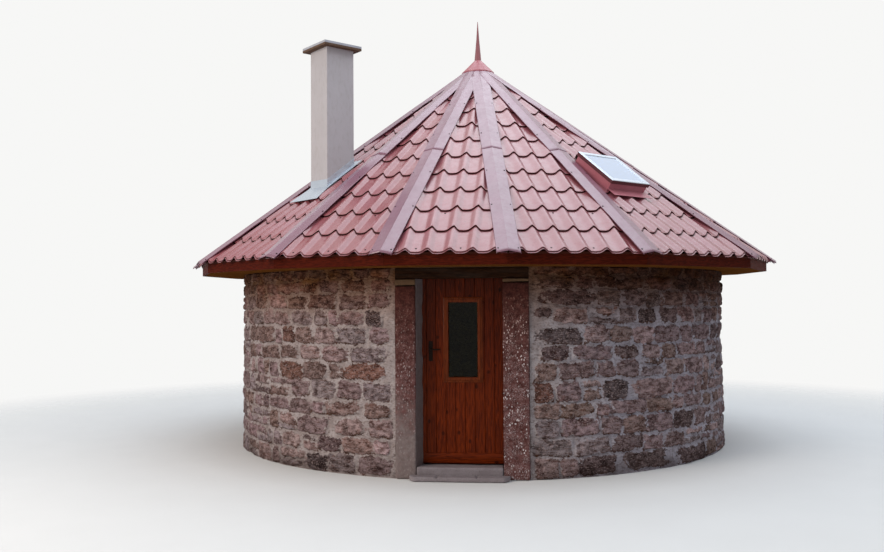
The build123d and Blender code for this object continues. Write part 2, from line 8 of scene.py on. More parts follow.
import bmesh
import bpy
import numpy as np
from mathutils import Matrix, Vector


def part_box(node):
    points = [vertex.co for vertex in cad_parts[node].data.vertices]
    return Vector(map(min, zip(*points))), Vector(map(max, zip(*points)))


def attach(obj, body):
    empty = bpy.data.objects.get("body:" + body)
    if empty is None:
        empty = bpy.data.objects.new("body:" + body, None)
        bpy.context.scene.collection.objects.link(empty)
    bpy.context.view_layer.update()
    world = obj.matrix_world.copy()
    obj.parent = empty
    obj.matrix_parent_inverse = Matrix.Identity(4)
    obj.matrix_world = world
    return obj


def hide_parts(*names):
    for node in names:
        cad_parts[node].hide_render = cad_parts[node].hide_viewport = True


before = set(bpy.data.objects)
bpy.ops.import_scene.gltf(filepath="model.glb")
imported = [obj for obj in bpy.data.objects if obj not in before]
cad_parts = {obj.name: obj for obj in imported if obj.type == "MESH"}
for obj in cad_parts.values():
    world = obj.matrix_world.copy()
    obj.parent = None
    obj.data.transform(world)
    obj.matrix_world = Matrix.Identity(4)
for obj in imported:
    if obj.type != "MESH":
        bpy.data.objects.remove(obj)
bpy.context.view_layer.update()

# Floor: a screeded slab inside the wall, cast in place and left with the marks of the float. It
# stays as the CAD has it and gets a dusty grey finish. A finish is a small tree of nodes whose
# places are metres on the hut, so that grain, specks and stains keep their real size.


class Finish:
    """A finish under construction, with one short call for each kind of node."""

    def __init__(self, name, own_grain=False, **settings):
        self.own_grain = own_grain
        self.material = bpy.data.materials.new(name)
        self.material.use_nodes = True
        self.tree = self.material.node_tree
        self.shader = self.tree.nodes["Principled BSDF"]
        for socket, value in {"Specular_IOR_Level": 0.2, **settings}.items():
            self.join(value, self.shader.inputs[socket.replace("_", " ")])

    def join(self, value, socket):
        if isinstance(value, bpy.types.NodeSocket):
            self.tree.links.new(value, socket)
        elif socket.type == "RGBA":
            socket.default_value = (*value[:3], 1)
        else:
            socket.default_value = value

    def node(self, kind, output, inputs, **settings):
        node = self.tree.nodes.new("ShaderNode" + kind)
        for key, value in settings.items():
            setattr(node, key, value)
        for socket, value in inputs.items():
            self.join(value, node.inputs[socket])
        return node.outputs[output]

    def place(self, stretch=(1, 1, 1), shift=None):
        """Place on the hut or in a board's own grain, moved and divided by a stretch."""
        if self.own_grain:
            spot = self.attribute("grain", "Vector")
        else:
            spot = self.node("TexCoord", "Object", {})
        if shift is not None:
            spot = self.node("VectorMath", 0, {0: spot, 1: shift}, operation="ADD")
        return self.node("VectorMath", 0, {0: spot, 1: stretch}, operation="DIVIDE")

    def along(self, axis):
        """How far along x, y or z the place is, for axis 0, 1 or 2."""
        return self.node("SeparateXYZ", axis, {0: self.node("TexCoord", "Object", {})})

    def from_axis(self):
        """How far from the hut's upright axis the place is."""
        return self.node("VectorMath", 1, {0: self.place((1, 1, 1000))}, operation="LENGTH")

    def noise(self, size, stretch=(1, 1, 1), detail=3.0, shift=None):
        spot = self.place(stretch, shift)
        return self.node("TexNoise", 0, {"Vector": spot, "Scale": 1 / size, "Detail": detail})

    def cells(self, size, stretch=(1, 1, 1)):
        """Distance to the nearest of scattered points, in sizes."""
        return self.node("TexVoronoi", 0, {"Vector": self.place(stretch), "Scale": 1 / size})

    def attribute(self, name, output="Fac"):
        return self.node("Attribute", output, {}, attribute_name=name)

    def sum(self, first, second, operation="ADD"):
        return self.node("Math", 0, {0: first, 1: second}, operation=operation)

    def times(self, value, *others):
        for other in others:
            value = self.sum(value, other, "MULTIPLY")
        return value

    def spread(self, value, low, high, to_low=0.0, to_high=1.0):
        """Value spread from low..high to to_low..to_high, and held at the ends."""
        ends = {"Value": value, 1: low, 2: high, 3: to_low, 4: to_high}
        return self.node("MapRange", 0, ends)

    def mix(self, share, first, second, how="MIX"):
        colours = {0: share, 6: first, 7: second}
        return self.node("Mix", 2, colours, data_type="RGBA", blend_type=how)

    def tinted(self, share, colour, tint):
        """A colour, multiplied by a tint as far as the share goes."""
        return self.mix(share, colour, self.mix(1.0, colour, tint, "MULTIPLY"))

    def bump(self, height, distance, after=None):
        ends = {"Height": height, "Distance": distance}
        if after is not None:
            ends["Normal"] = after
        return self.node("Bump", 0, ends)

    def finish(self, colour, roughness, normal=None):
        self.join(colour, self.shader.inputs["Base Color"])
        self.join(roughness, self.shader.inputs["Roughness"])
        if normal is not None:
            self.join(normal, self.shader.inputs["Normal"])
        return self.material


def coat_nodes(material, *nodes, soften=0.0):
    """Gives CAD nodes a finish, and eases their sharp edges where a width is given."""
    for node in nodes:
        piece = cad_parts[node]
        piece.data.materials.clear()
        piece.data.materials.append(material)
        if soften:
            eased = piece.modifiers.new("eased edges", "BEVEL")
            eased.width = soften
            eased.segments = 2
            eased.limit_method = "ANGLE"


def mottled(name, size, dark, light, rough, relief=None, specks=None, **settings):
    """Finish in clouds of two colours, with specks of a third and a fine relief.

    A pattern is the arguments of its noise. Roughness is a number, or a size and its two ends.
    """
    f = Finish(name, **settings)
    colour = f.mix(f.noise(size), dark, light)
    if specks:
        pattern, low, high, most, tint = specks
        colour = f.mix(f.spread(f.noise(*pattern), low, high, 0.0, most), colour, tint)
    if isinstance(rough, tuple):
        rough = f.spread(f.noise(rough[0]), 0.3, 0.7, rough[1], rough[2])
    if relief:
        pattern, depth = relief
        relief = f.bump(f.noise(*pattern), depth)
    return f.finish(colour, rough, relief)


screed = mottled(
    "screed", 0.4, (0.2, 0.19, 0.17), (0.3, 0.28, 0.25), (0.1, 0.7, 0.92),
    relief=((0.03,), 0.002), specks=((0.012,), 0.55, 0.7, 1.0, (0.14, 0.13, 0.12)),
)
coat_nodes(screed, "floor_slab")

# Rubble wall: field stones of mauve, brown and rust-red sandstone, laid in rough courses and bedded
# in lime mortar that was wiped flush with their faces. The stones that stand out beside the doorway
# are laid as on the hut, and the others fill the courses right round. Eight lengths meet unseen.

wall_radius = 2.867
wall_inner_radius = 2.367
wall_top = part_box("wall_back_left")[1].z
door_azimuth = -3.3
# the net of the outer face: its cells at the front and at the back, and its top under the soffit
front_step = 0.009
back_step = 0.014
seen_height = 2.0
# how far from a stone its edge is still told
far_from_stone = 0.05
# widths of the joints between stones, from the narrowest to the widest
joint_widths = (0.016, 0.034)
stone_tones = {
    "pink": (0.265, 0.188, 0.182),
    "mauve": (0.21, 0.148, 0.15),
    "grey": (0.205, 0.165, 0.168),
    "brown": (0.178, 0.12, 0.106),
    "rust": (0.16, 0.084, 0.066),
    "dark": (0.12, 0.084, 0.083),
    "black": (0.1, 0.076, 0.076),
}
other_tones = ["pink"] * 3 + ["mauve"] * 6 + ["grey"] * 3 + ["brown"] * 4 + ["dark"]
course_beds = [0, 0.19, 0.36, 0.55, 0.7, 0.9, 1.08, 1.24, 1.42, 1.59, 1.75, 1.88, 2.02]
# azimuth, width and tone of the stones that stand out, for each course from the ground up
notable_stones = [
    [(-34.5, 0.3, "black"), (22.9, 0.41, "dark"), (34.5, 0.6, "dark"), (49.4, 0.6, "dark")],
    [(-31.3, 0.3, "dark"), (13.8, 0.4, "grey"), (29.6, 0.38, "dark")],
    [(-35.9, 0.46, "mauve"), (-26.5, 0.36, "pink"), (-19.3, 0.26, "pink"), (12.6, 0.26, "grey")],
    [(-27.6, 0.44, "brown"), (-39.2, 0.35, "mauve"), (29.8, 0.44, "mauve")],
    [(-32.7, 0.34, "grey"), (12, 0.19, "rust"), (26.8, 0.3, "black"), (36.5, 0.56, "pink")],
    [(-42.7, 0.4, "rust"), (-22.9, 0.48, "rust"), (18.5, 0.4, "mauve")],
    [(-30.1, 0.35, "pink"), (-22.1, 0.38, "grey"), (14.2, 0.34, "dark"), (29.8, 0.34, "dark")],
    [(-43, 0.22, "rust"), (-25.8, 0.37, "grey"), (15.1, 0.46, "black"), (28.3, 0.29, "brown")],
    [(-26, 0.3, "mauve"), (-20.6, 0.21, "black"), (34.9, 0.26, "black"), (41.1, 0.28, "dark")],
    [(-33, 0.4, "brown"), (17.1, 0.55, "dark")],
]
# eight lengths, anticlockwise from the one at the right of the doorway
wall_lengths = ["front_right", "right_front", "right_back", "back_right"]
wall_lengths += ["back_left", "left_back", "left_front", "front_left"]


def waver(points, size, seed):
    """Smooth noise from -1 to 1 at points, with bumps about a size across."""
    lattice = np.random.default_rng(seed).uniform(-1, 1, (32, 32, 32))
    spots = np.asarray(points) / size
    cell = np.floor(spots).astype(int)
    part = spots - cell
    part = part * part * (3 - 2 * part)
    total = np.zeros(len(spots))
    for corner in product((0, 1), repeat=3):
        weight = np.prod(np.where(corner, part, 1 - part), axis=1)
        i, j, k = ((cell + corner) % 32).T
        total += weight * lattice[i, j, k]
    return total


def around(radius, azimuth, height):
    """Points at a radius, azimuths in radians and heights."""
    azimuth, height = np.broadcast_arrays(azimuth, height)
    return np.stack([radius * np.sin(azimuth), -radius * np.cos(azimuth), height], -1)


def lay_stones():
    """Every stone: arc, height, half width, half depth, turn, squareness, how proud, tilts, tint."""
    rng = random.Random(7)
    stones = []
    band = 0.05
    start = radians(door_azimuth) * wall_radius + jambs_right + band
    end = radians(door_azimuth + 360) * wall_radius + jambs_left - band

    def lay(left, right, low, high, tone):
        width = right - left - rng.uniform(*joint_widths)
        depth = high - low - rng.uniform(*joint_widths)
        if width < 0.05 or depth < 0.035:
            return
        shade = rng.uniform(0.84, 1.18)
        tint = [shade * c * rng.uniform(0.98, 1.02) for c in stone_tones[tone]]
        turn = radians(rng.uniform(-5, 5)) * min(1, depth / width * 1.5)
        square = rng.uniform(3.2, 8)
        proud = rng.uniform(0.003, 0.015)
        tilts = (rng.uniform(-0.03, 0.03), rng.uniform(-0.07, 0.04))
        arc = (left + right) / 2
        height = (low + high) / 2 + rise(arc) + rng.uniform(-0.008, 0.008)
        stones.append((arc, height, width / 2, depth / 2, turn, square, proud, tilts, tint))

    def fill(left, right, low, high):
        """Stones of uneven lengths from one place to another, some in two thin layers."""
        count = round((right - left) / rng.uniform(0.24, 0.32))
        if count < 1:
            return
        shares = [rng.uniform(0.5, 1.5) for i in range(count)]
        widths = [share / sum(shares) * (right - left) for share in shares]
        for width in widths:
            tone = rng.choice(other_tones)
            if width > 0.16 and high - low > 0.15 and rng.random() < 0.22:
                split = low + (high - low) * rng.uniform(0.35, 0.65)
                lay(left, left + width, low, split, tone)
                lay(left, left + width, split, high, rng.choice(other_tones))
            else:
                lay(left, left + width, low, high, tone)
            left += width

    for number, (low, high) in enumerate(zip(course_beds, course_beds[1:])):
        waves = [(0.012, 1.4, 1.0)]
        waves.append((rng.uniform(0.003, 0.009), rng.uniform(0.3, 0.8), rng.uniform(0, 6)))

        def rise(arc):
            return sum(a * sin(arc / size + phase) for a, size, phase in waves)

        fixed = notable_stones[number] if number < len(notable_stones) else []
        fixed = [(radians(azimuth % 360) * wall_radius, width, tone) for azimuth, width, tone in fixed]
        place = start
        for arc, width, tone in sorted(fixed):
            fill(place, arc - width / 2, low, high)
            lay(arc - width / 2, arc + width / 2, low, high, tone)
            place = arc + width / 2
        fill(place, end, low, high)
    return stones


def stone_faces(arc, height, points):
    """Standing out of the wall's face, edge distance, lowness on the stone and tint at points."""
    strayed_arc = arc + 0.012 * waver(points, 0.13, 1) + 0.008 * waver(points, 0.045, 2)
    strayed_height = height + 0.01 * waver(points, 0.15, 3) + 0.007 * waver(points, 0.05, 4)
    edge = np.full(len(arc), far_from_stone)
    low = np.zeros(len(arc))
    tint = np.tile(np.array(stone_tones["mauve"]), (len(arc), 1))
    lift = np.zeros(len(arc))
    crown = np.zeros(len(arc))
    reach = 0.08
    for at, z, half_width, half_depth, turn, square, proud, tilts, own_tint in rubble:
        across = (strayed_arc - at + round_the_hut / 2) % round_the_hut - round_the_hut / 2
        up = strayed_height - z
        beside = (abs(across) < half_width + reach) & (abs(up) < half_depth + reach)
        near = np.nonzero(beside)[0]
        a = across[near] * cos(turn) + up[near] * sin(turn)
        b = up[near] * cos(turn) - across[near] * sin(turn)
        size = (abs(a / half_width) ** square + abs(b / half_depth) ** square) ** (1 / square)
        gap = (size - 1) * min(half_width, half_depth)
        nearer = gap < edge[near]
        chosen = near[nearer]
        edge[chosen] = gap[nearer]
        low[chosen] = np.clip(-b[nearer] / half_depth, 0, 1)
        tint[chosen] = own_tint
        crown[chosen] = 1 - np.clip(size[nearer], 0, 1) ** 2
        lift[chosen] = proud + tilts[0] * a[nearer] + tilts[1] * b[nearer]
    # from mortar to stone across the rounded edge of the stone
    share = np.clip(0.5 - edge / 0.014, 0, 1)
    share = share * share * (3 - 2 * share)
    hewn = 0.006 * waver(points, 0.07, 5) + 0.005 * waver(points, 0.03, 6) + 0.003 * waver(points, 0.016, 7)
    stone = lift + 0.006 * crown + hewn
    mortar = 0.005 * waver(points, 0.16, 8) + 0.003 * waver(points, 0.035, 9)
    # the joint is deeper under a stone, and the whole face wanders a little in and out
    groove = 0.007 * low * np.exp(-(((edge - 0.008) / 0.008) ** 2))
    leaning = 0.012 * waver(points, 0.6, 10) + 0.008 * waver(points, 0.22, 11)
    return leaning + share * stone + (1 - share) * mortar - groove, edge, low, tint


def add_piece(name, vertices, faces, material, slot, *nodes, body="hut", smooth=40):
    """A piece from its mesh: shaded smooth but for edges sharper than an angle."""
    mesh = bpy.data.meshes.new(name)
    mesh.from_pydata([tuple(v) for v in np.asarray(vertices).tolist()], [], faces)
    mesh.validate()
    mesh.materials.append(material)
    mesh.shade_smooth()
    mesh.set_sharp_from_angle(angle=radians(smooth))
    piece = bpy.data.objects.new(name, mesh)
    bpy.context.scene.collection.objects.link(piece)
    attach(piece, body)
    if nodes:
        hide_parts(*nodes)
    return piece


def set_values(piece, name, values, domain="POINT"):
    """Hangs a number or a colour on each point or face of a piece, for its finish to read."""
    values = np.asarray(values, float)
    if values.ndim == 1:
        piece.data.attributes.new(name, "FLOAT", domain).data.foreach_set("value", values)
    else:
        filled = np.c_[values, np.ones(len(values))]
        piece.data.attributes.new(name, "FLOAT_COLOR", domain).data.foreach_set("color", filled.ravel())


def grid_faces(rows, columns):
    """Faces of a net of points that runs row by row."""
    return [
        (r * columns + c, r * columns + c + 1, (r + 1) * columns + c + 1, (r + 1) * columns + c)
        for r in range(rows - 1)
        for c in range(columns - 1)
    ]


def build_wall(number, material):
    """One length of wall: a fine outer face, and plain ends, top, foot and inner face."""
    first = inner_first = radians(door_azimuth + 45 * number)
    last = inner_last = first + radians(45)
    reveal_before = []
    reveal_after = []
    if number == 0:
        first = radians(door_azimuth) + asin(jambs_right / wall_radius)
        inner_first = radians(door_azimuth) + asin(frame_right / wall_inner_radius)
        reveal_after = by_door([[frame_right, jamb_back, 0], [jambs_right, jamb_back, 0]])[:, :2]
    if number == -1:
        last = radians(door_azimuth) + asin(jambs_left / wall_radius)
        inner_last = radians(door_azimuth) + asin(frame_left / wall_inner_radius)
        reveal_before = by_door([[jambs_left, jamb_back, 0], [frame_left, jamb_back, 0]])[:, :2]
    inner_face = around(wall_inner_radius, np.linspace(inner_last, inner_first, 13), 0.0)[:, :2]
    rest = [*reveal_before, *inner_face, *reveal_after]
    step = front_step if number in (-1, 0, 1, 6) else back_step
    columns = int((last - first) * wall_radius / step) + 1
    azimuths = np.linspace(first, last, columns)
    heights = np.append(np.linspace(0, seen_height, int(seen_height / step)), wall_top)
    azimuth_grid, height_grid = (g.ravel() for g in np.meshgrid(azimuths, heights))
    points = around(wall_radius, azimuth_grid, height_grid)
    out, edge, low, tint = stone_faces(azimuth_grid * wall_radius, height_grid, points)
    out = np.where(height_grid > seen_height - 0.02, 0, out)
    points = around(wall_radius + out, azimuth_grid, height_grid)
    faces = grid_faces(len(heights), columns)
    base = len(points)
    count = len(rest)
    foot = list(range(base, base + count))
    top = list(range(base + count, base + 2 * count))
    plain_points = [(x, y, z) for z in (0, wall_top) for x, y in rest]
    faces += [(foot[i], foot[i + 1], top[i + 1], top[i]) for i in range(count - 1)]
    first_column = list(range(0, base, columns))
    last_column = list(range(columns - 1, base, columns))
    faces.append([foot[0], top[0]] + last_column[::-1])
    faces.append([foot[-1]] + first_column + [top[-1]])
    faces.append(list(range(base - columns, base)) + top)
    faces.append(list(range(columns))[::-1] + foot[::-1])
    name = "wall_" + wall_lengths[number]
    points = np.vstack([points, plain_points])
    piece = add_piece("rubble_" + name, points, faces, material, "rubble_wall", name)
    set_values(piece, "edge", np.append(edge, np.full(2 * count, far_from_stone)))
    set_values(piece, "low", np.append(low, np.zeros(2 * count)))
    set_values(piece, "tint", np.vstack([tint, np.tile(stone_tones["mauve"], (2 * count, 1))]))


def rubble_finish():
    """Rough stone in its own tint, and grainy mortar wiped over its edges, with painted shadow lines below
    the stones and painted shade under the eave.
    """
    f = Finish("rubble", Specular_IOR_Level=0.05)
    patchy = f.spread(f.noise(0.09), 0.35, 0.65, -0.012, 0.013)
    ragged = f.spread(f.noise(0.022, detail=6.0), 0.3, 0.7, -0.01, 0.01)
    edge = f.sum(f.sum(f.attribute("edge"), patchy), ragged)
    stone = f.attribute("tint", "Color")
    coarse = f.spread(f.noise(0.04, (1.8, 1.8, 1), 6.0), 0.38, 0.62)
    stone = f.tinted(1.0, stone, f.mix(coarse, (0.57, 0.51, 0.49), (1.56, 1.56, 1.58)))
    streaks = f.spread(f.noise(0.03, (2.5, 2.5, 0.7), 5.0, (1, 5, 2)), 0.54, 0.62, 0.0, 0.75)
    stone = f.tinted(streaks, stone, (0.45, 0.3, 0.25))
    blotches = f.spread(f.noise(0.1, (1.4, 1.4, 1), 6.0, (4, 2, 7)), 0.57, 0.63, 0.0, 0.75)
    stone = f.tinted(blotches, stone, (0.36, 0.29, 0.28))
    pale = f.spread(f.noise(0.014, (1.5, 1.5, 0.8), 4.0), 0.54, 0.64, 0.0, 0.72)
    stone = f.mix(pale, stone, (0.33, 0.245, 0.235))
    pits = f.spread(f.noise(0.011, (1.3, 1.3, 1), 2.0, (3, 1, 2)), 0.57, 0.64, 0.0, 0.75)
    stone = f.tinted(pits, stone, (0.28, 0.2, 0.17))
    clouds = f.spread(f.noise(0.12, detail=4.0), 0.35, 0.65)
    mortar = f.mix(clouds, (0.3, 0.242, 0.228), (0.43, 0.366, 0.355))
    grit = f.spread(f.noise(0.02, (1.6, 1.6, 0.8), 5.0), 0.5, 0.66, 0.0, 0.7)
    mortar = f.mix(grit, mortar, (0.17, 0.12, 0.105))
    mortar = f.mix(f.spread(f.noise(0.007), 0.55, 0.7, 0.0, 0.5), mortar, (0.5, 0.44, 0.435))
    # painted cool light: the mortar turns bluer towards the shaded right side of the hut
    shaded_right_side = f.spread(f.along(0), 0.3, 1.4)
    mortar = f.tinted(shaded_right_side, mortar, (0.98, 1.05, 1.2))
    colour = f.mix(f.spread(edge, -0.002, 0.002), stone, mortar)
    # painted shadow: a thin, broken dark brown line just below the lower edge of each stone
    under = f.times(f.spread(edge, -0.009, -0.003), f.spread(edge, 0.001, 0.008, 1.0, 0.0))
    broken = f.spread(f.noise(0.07), 0.38, 0.52, 0.1, 1.0)
    painted_shadow_line = f.times(under, f.spread(f.attribute("low"), 0.25, 0.85), broken, 0.9)
    colour = f.mix(painted_shadow_line, colour, (0.06, 0.022, 0.009))
    height = f.along(2)
    # darker and browner under the eave: partly a brown stain, partly painted shade and painted warm bounce
    # light from the soffit
    eave_stain_and_shade = f.times(f.spread(height, 1.38, 1.88), f.spread(f.noise(0.2), 0.3, 0.7, 0.75, 1.0))
    colour = f.tinted(eave_stain_and_shade, colour, (0.47, 0.215, 0.06))
    # painted shade: darker still under the eave on the shaded right side
    painted_right_eave_shade = f.times(f.spread(height, 1.5, 1.9), shaded_right_side)
    colour = f.tinted(painted_right_eave_shade, colour, (0.4, 0.36, 0.36))
    damp = f.times(f.spread(height, 0.25, 0.02), f.spread(f.noise(0.2), 0.3, 0.6))
    colour = f.tinted(damp, colour, (0.5, 0.47, 0.46))
    rough = f.bump(f.noise(0.035, (1.5, 1.5, 1), 8.0), 0.035)
    return f.finish(colour, 0.95, f.bump(f.noise(0.009, detail=4.0), 0.005, rough))


jambs_left = -0.6425
jambs_right = 0.6225
frame_left = -0.5225
frame_right = 0.4525
jamb_back = -2.685


def by_door(points):
    """Points given square to the doorway, turned to where the hut has it."""
    c = cos(radians(door_azimuth))
    s = sin(radians(door_azimuth))
    return np.asarray(points, float) @ np.array([[c, s, 0], [-s, c, 0], [0, 0, 1]])


round_the_hut = 2 * pi * wall_radius
rubble = lay_stones()
rubble_material = rubble_finish()
for number in (*range(7), -1):
    build_wall(number, rubble_material)


def mortar_finish(name="lime mortar", dark=(0.1, 0.052, 0.026), light=(0.17, 0.1, 0.056)):
    grit = ((0.005,), 0.5, 0.75, 0.6, [c * 0.6 for c in dark])
    return mottled(name, 0.05, dark, light, 0.93, ((0.008,), 0.003), grit, Specular_IOR_Level=0.05)


mortar_material = mortar_finish()
coat_nodes(mortar_material, "wall_over_door")

# Doorway stones: two upright jambs of pitted red sandstone with worn arrises, a pad of mortar on
# each under the lintel, a splayed mortar fillet down the left side, and a threshold and a flat step
# of pale stone.

jamb_front = -2.835
opening_left = -0.4425
opening_right = 0.3725
lintel_bottom = 1.878
left_jamb_top = 1.813
right_jamb_top = 1.84
threshold_top = 0.115
threshold_back = -2.545


def block(low, high, step):
    """Surface of a box as a closed net of cells about a step across."""
    counts = [max(1, round((b - a) / step)) for a, b in zip(low, high)]
    numbers = {}
    points = []
    faces = []

    def number(cell):
        if cell not in numbers:
            numbers[cell] = len(points)
            points.append([a + (b - a) * c / n for a, b, c, n in zip(low, high, cell, counts)])
        return numbers[cell]

    for axis in range(3):
        u = (axis + 1) % 3
        v = (axis + 2) % 3
        for side in (0, counts[axis]):
            for i, j in product(range(counts[u]), range(counts[v])):
                ring = []
                for di, dj in ((0, 0), (1, 0), (1, 1), (0, 1)):
                    cell = [side] * 3
                    cell[u] = i + di
                    cell[v] = j + dj
                    ring.append(number(tuple(cell)))
                faces.append(ring if side else ring[::-1])
    return np.array(points), faces


def worn(points, low, high, edge, wear, size, seed):
    """Rounds the arrises of a box and wears its faces inwards in hollows."""
    core = np.clip(points, np.array(low) + edge, np.array(high) - edge)
    out = points - core
    out /= np.maximum(np.linalg.norm(out, axis=1, keepdims=True), 1e-9)
    hollow = 0.5 + 0.35 * waver(points, size, seed) + 0.15 * waver(points, size / 3, seed + 1)
    return core + out * (edge - wear * hollow)[:, None]


def worn_stone(name, low, high, material, slot, node, step=0.015, edge=0.014, wear=0.006, seed=20):
    points, faces = block(low, high, step)
    points = by_door(worn(points, low, high, edge, wear, 0.12, seed))
    return add_piece(name, points, faces, material, slot, node, smooth=70)


def sandstone():
    """Deep red stone with pale pits, and grey mortar smeared on the foot of the left jamb."""
    f = Finish("red sandstone")
    clouds = f.spread(f.noise(0.05, detail=5.0), 0.35, 0.65)
    colour = f.mix(clouds, (0.055, 0.014, 0.011), (0.135, 0.056, 0.052))
    colour = f.mix(f.spread(f.noise(0.02), 0.5, 0.7, 0.0, 0.6), colour, (0.22, 0.12, 0.11))
    left = f.spread(f.along(0), 0.2, 0.0)
    height = f.along(2)
    pitted = f.times(f.spread(left, 0.0, 1.0, 1.0, 0.35), f.spread(height, 1.78, 1.45))
    pits = f.spread(f.cells(0.02, (1, 1, 1.6)), 0.33, 0.22)
    pits = f.times(pits, f.spread(f.noise(0.12), 0.42, 0.56), pitted)
    colour = f.mix(pits, colour, (0.66, 0.58, 0.57))
    specks = f.times(f.spread(f.noise(0.007), 0.54, 0.64), f.spread(f.noise(0.11), 0.42, 0.56))
    colour = f.mix(f.times(specks, pitted, 0.75), colour, (0.46, 0.37, 0.37))
    foot = f.spread(f.sum(height, f.noise(0.1)), 1.3, 0.85)
    smear = f.mix(f.noise(0.03), (0.15, 0.11, 0.1), (0.3, 0.26, 0.25))
    colour = f.mix(f.times(left, foot, 0.7), colour, smear)
    # painted shade with some stain: the jambs darken and brown towards their heads, in the eave's shadow
    colour = f.tinted(f.spread(height, 0.9, 1.75), colour, (0.5, 0.28, 0.2))
    rough = f.bump(f.spread(f.cells(0.016), 0.0, 0.3), 0.002)
    return f.finish(colour, 0.9, f.bump(f.noise(0.02, detail=5.0), 0.006, rough))


jamb_material = sandstone()
low = (jambs_left, jamb_front, 0)
high = (opening_left, jamb_back, left_jamb_top)
worn_stone("jamb_stone_left", low, high, jamb_material, "red_sandstone", "jamb_left")
low = (opening_right, jamb_front, 0)
high = (jambs_right, jamb_back, right_jamb_top)
worn_stone("jamb_stone_right", low, high, jamb_material, "red_sandstone", "jamb_right", seed=23)
pads = []
for low, high in (
    ((jambs_left, jamb_front, left_jamb_top), (opening_left, jamb_back, lintel_bottom)),
    ((opening_right, jamb_front, right_jamb_top), (jambs_right, jamb_back, lintel_bottom)),
):
    points, faces = block(low, high, 0.013)
    pads.append((by_door(worn(points, low, high, 0.008, 0.01, 0.06, 27)), faces))


def gather(shapes):
    """Several meshes in one, with the number of the shape that each point belongs to."""
    points = []
    faces = []
    owners = []
    for number, (some_points, some_faces) in enumerate(shapes):
        start = len(owners)
        points.append(np.asarray(some_points, float).reshape(-1, 3))
        faces += [[start + i for i in face] for face in some_faces]
        owners += [number] * len(points[-1])
    return np.vstack(points), faces, np.array(owners)


points, faces, owners = gather(pads)
add_piece("jamb_mortar", points, faces, mortar_material, "lime_mortar", "jamb_pads", smooth=70)

step_material = mottled(
    "pale step stone", 0.1, (0.17, 0.135, 0.14), (0.31, 0.27, 0.28), 0.88,
    relief=((0.02, (1, 1, 1), 5.0), 0.005), specks=((0.01,), 0.55, 0.75, 0.6, (0.12, 0.09, 0.09)),
)
low = (opening_left, jamb_front, 0)
high = (opening_right, threshold_back, threshold_top)
worn_stone("threshold_stone", low, high, step_material, "grey_stone", "threshold", edge=0.01, wear=0.004)

# the fillet widens from the front of the reveal to the door's frame
fillet_foot = 0.12
fillet_low = (opening_left - 0.006, jamb_front + 0.03, threshold_top)
fillet_high = (opening_left + 0.046, jamb_back - 0.007, lintel_bottom)
points, faces = block(fillet_low, fillet_high, 0.013)
splay = (points[:, 1] - fillet_low[1]) / (fillet_high[1] - fillet_low[1])
width = fillet_foot + (1 - fillet_foot) * splay + 0.1 * waver(points, 0.1, 41)
points[:, 0] = fillet_low[0] + (points[:, 0] - fillet_low[0]) * width
fillet_finish = mortar_finish("grey fillet", (0.105, 0.075, 0.07), (0.18, 0.138, 0.134))
add_piece("doorway_fillet", by_door(points), faces, fillet_finish, "lime_mortar", smooth=70)

step_low = (-0.51, -2.965, 0)
step_high = (0.44, jamb_front, 0.05)
step_middle = (step_low[0] + step_high[0]) / 2
step_taper = 0.13
step_joints = (-0.24, 0.13)
joint_depth = 0.014
joint_width = 0.008
points, faces = block(step_low, step_high, 0.012)
points = worn(points, step_low, step_high, 0.012, 0.008, 0.1, 31)
forward = np.clip((jamb_front - points[:, 1]) / (jamb_front - step_low[1]), 0, 1)
points[:, 0] = step_middle + (points[:, 0] - step_middle) * (1 - step_taper * forward**3)
for joint in step_joints:
    groove = joint_depth * np.exp(-(((points[:, 0] - joint) / joint_width) ** 2))
    points[:, 2] -= groove * (points[:, 2] > 0.03)
add_piece("step_stones", by_door(points), faces, step_material, "grey_stone", "doorstep", smooth=70)

# Lintels: an old squared oak beam over the doorway, dark from weather and checked along the
# grain, and a sawn one behind it over the door frame.


def wood(
    name, dark, light, stretch, knots=0.0, own_grain=False, gloss=0.0, worn_grey=0.0, stained_ends=0.0,
    painted_eave_shade=0.0, **settings
):
    """Timber with the stretch's long way as its grain, or each board's own grain where it has one."""
    f = Finish(name, own_grain, **{"Specular_IOR_Level": 0.04, **settings})
    rings = f.noise(0.022, stretch, 2.0)
    lines = f.spread(f.sum(f.times(rings, 34.0), 0.0, "SINE"), -1.0, 1.0)
    fibre = f.noise(0.003, stretch, 3.0)
    share = f.sum(f.times(lines, 0.5), f.times(fibre, 0.5))
    colour = f.mix(f.spread(share, 0.2, 0.85), light, dark)
    colour = f.mix(f.spread(f.noise(0.25, stretch), 0.35, 0.7, 0.0, 0.5), colour, dark)
    if knots:
        knot_stretch = [1 + 0.4 * (s > 1) for s in stretch]
        around_knot = f.cells(0.11, knot_stretch)
        colour = f.mix(f.spread(around_knot, 0.17, 0.09, 0.0, knots), colour, [c * 0.35 for c in dark])
    if worn_grey:
        grey = f.spread(f.noise(0.05, stretch), 0.45, 0.7, 0.0, worn_grey)
        colour = f.mix(grey, colour, (0.12, 0.09, 0.07))
    if stained_ends:
        ends = f.spread(f.from_axis(), stained_ends, stained_ends + 0.03)
        colour = f.mix(ends, colour, (0.05, 0.011, 0.006))
    # painted light and shade: the wood is lighter towards its foot and darker higher up, under the eave
    if painted_eave_shade:
        colour = f.tinted(f.spread(f.along(2), 1.35, 0.6, 0.0, painted_eave_shade), colour, (1.6, 1.7, 1.6))
    dull = f.spread(fibre, 0.3, 0.7, 0.62 - gloss, 0.8 - gloss)
    return f.finish(colour, dull, f.bump(share, 0.0008 + 0.002 * worn_grey))


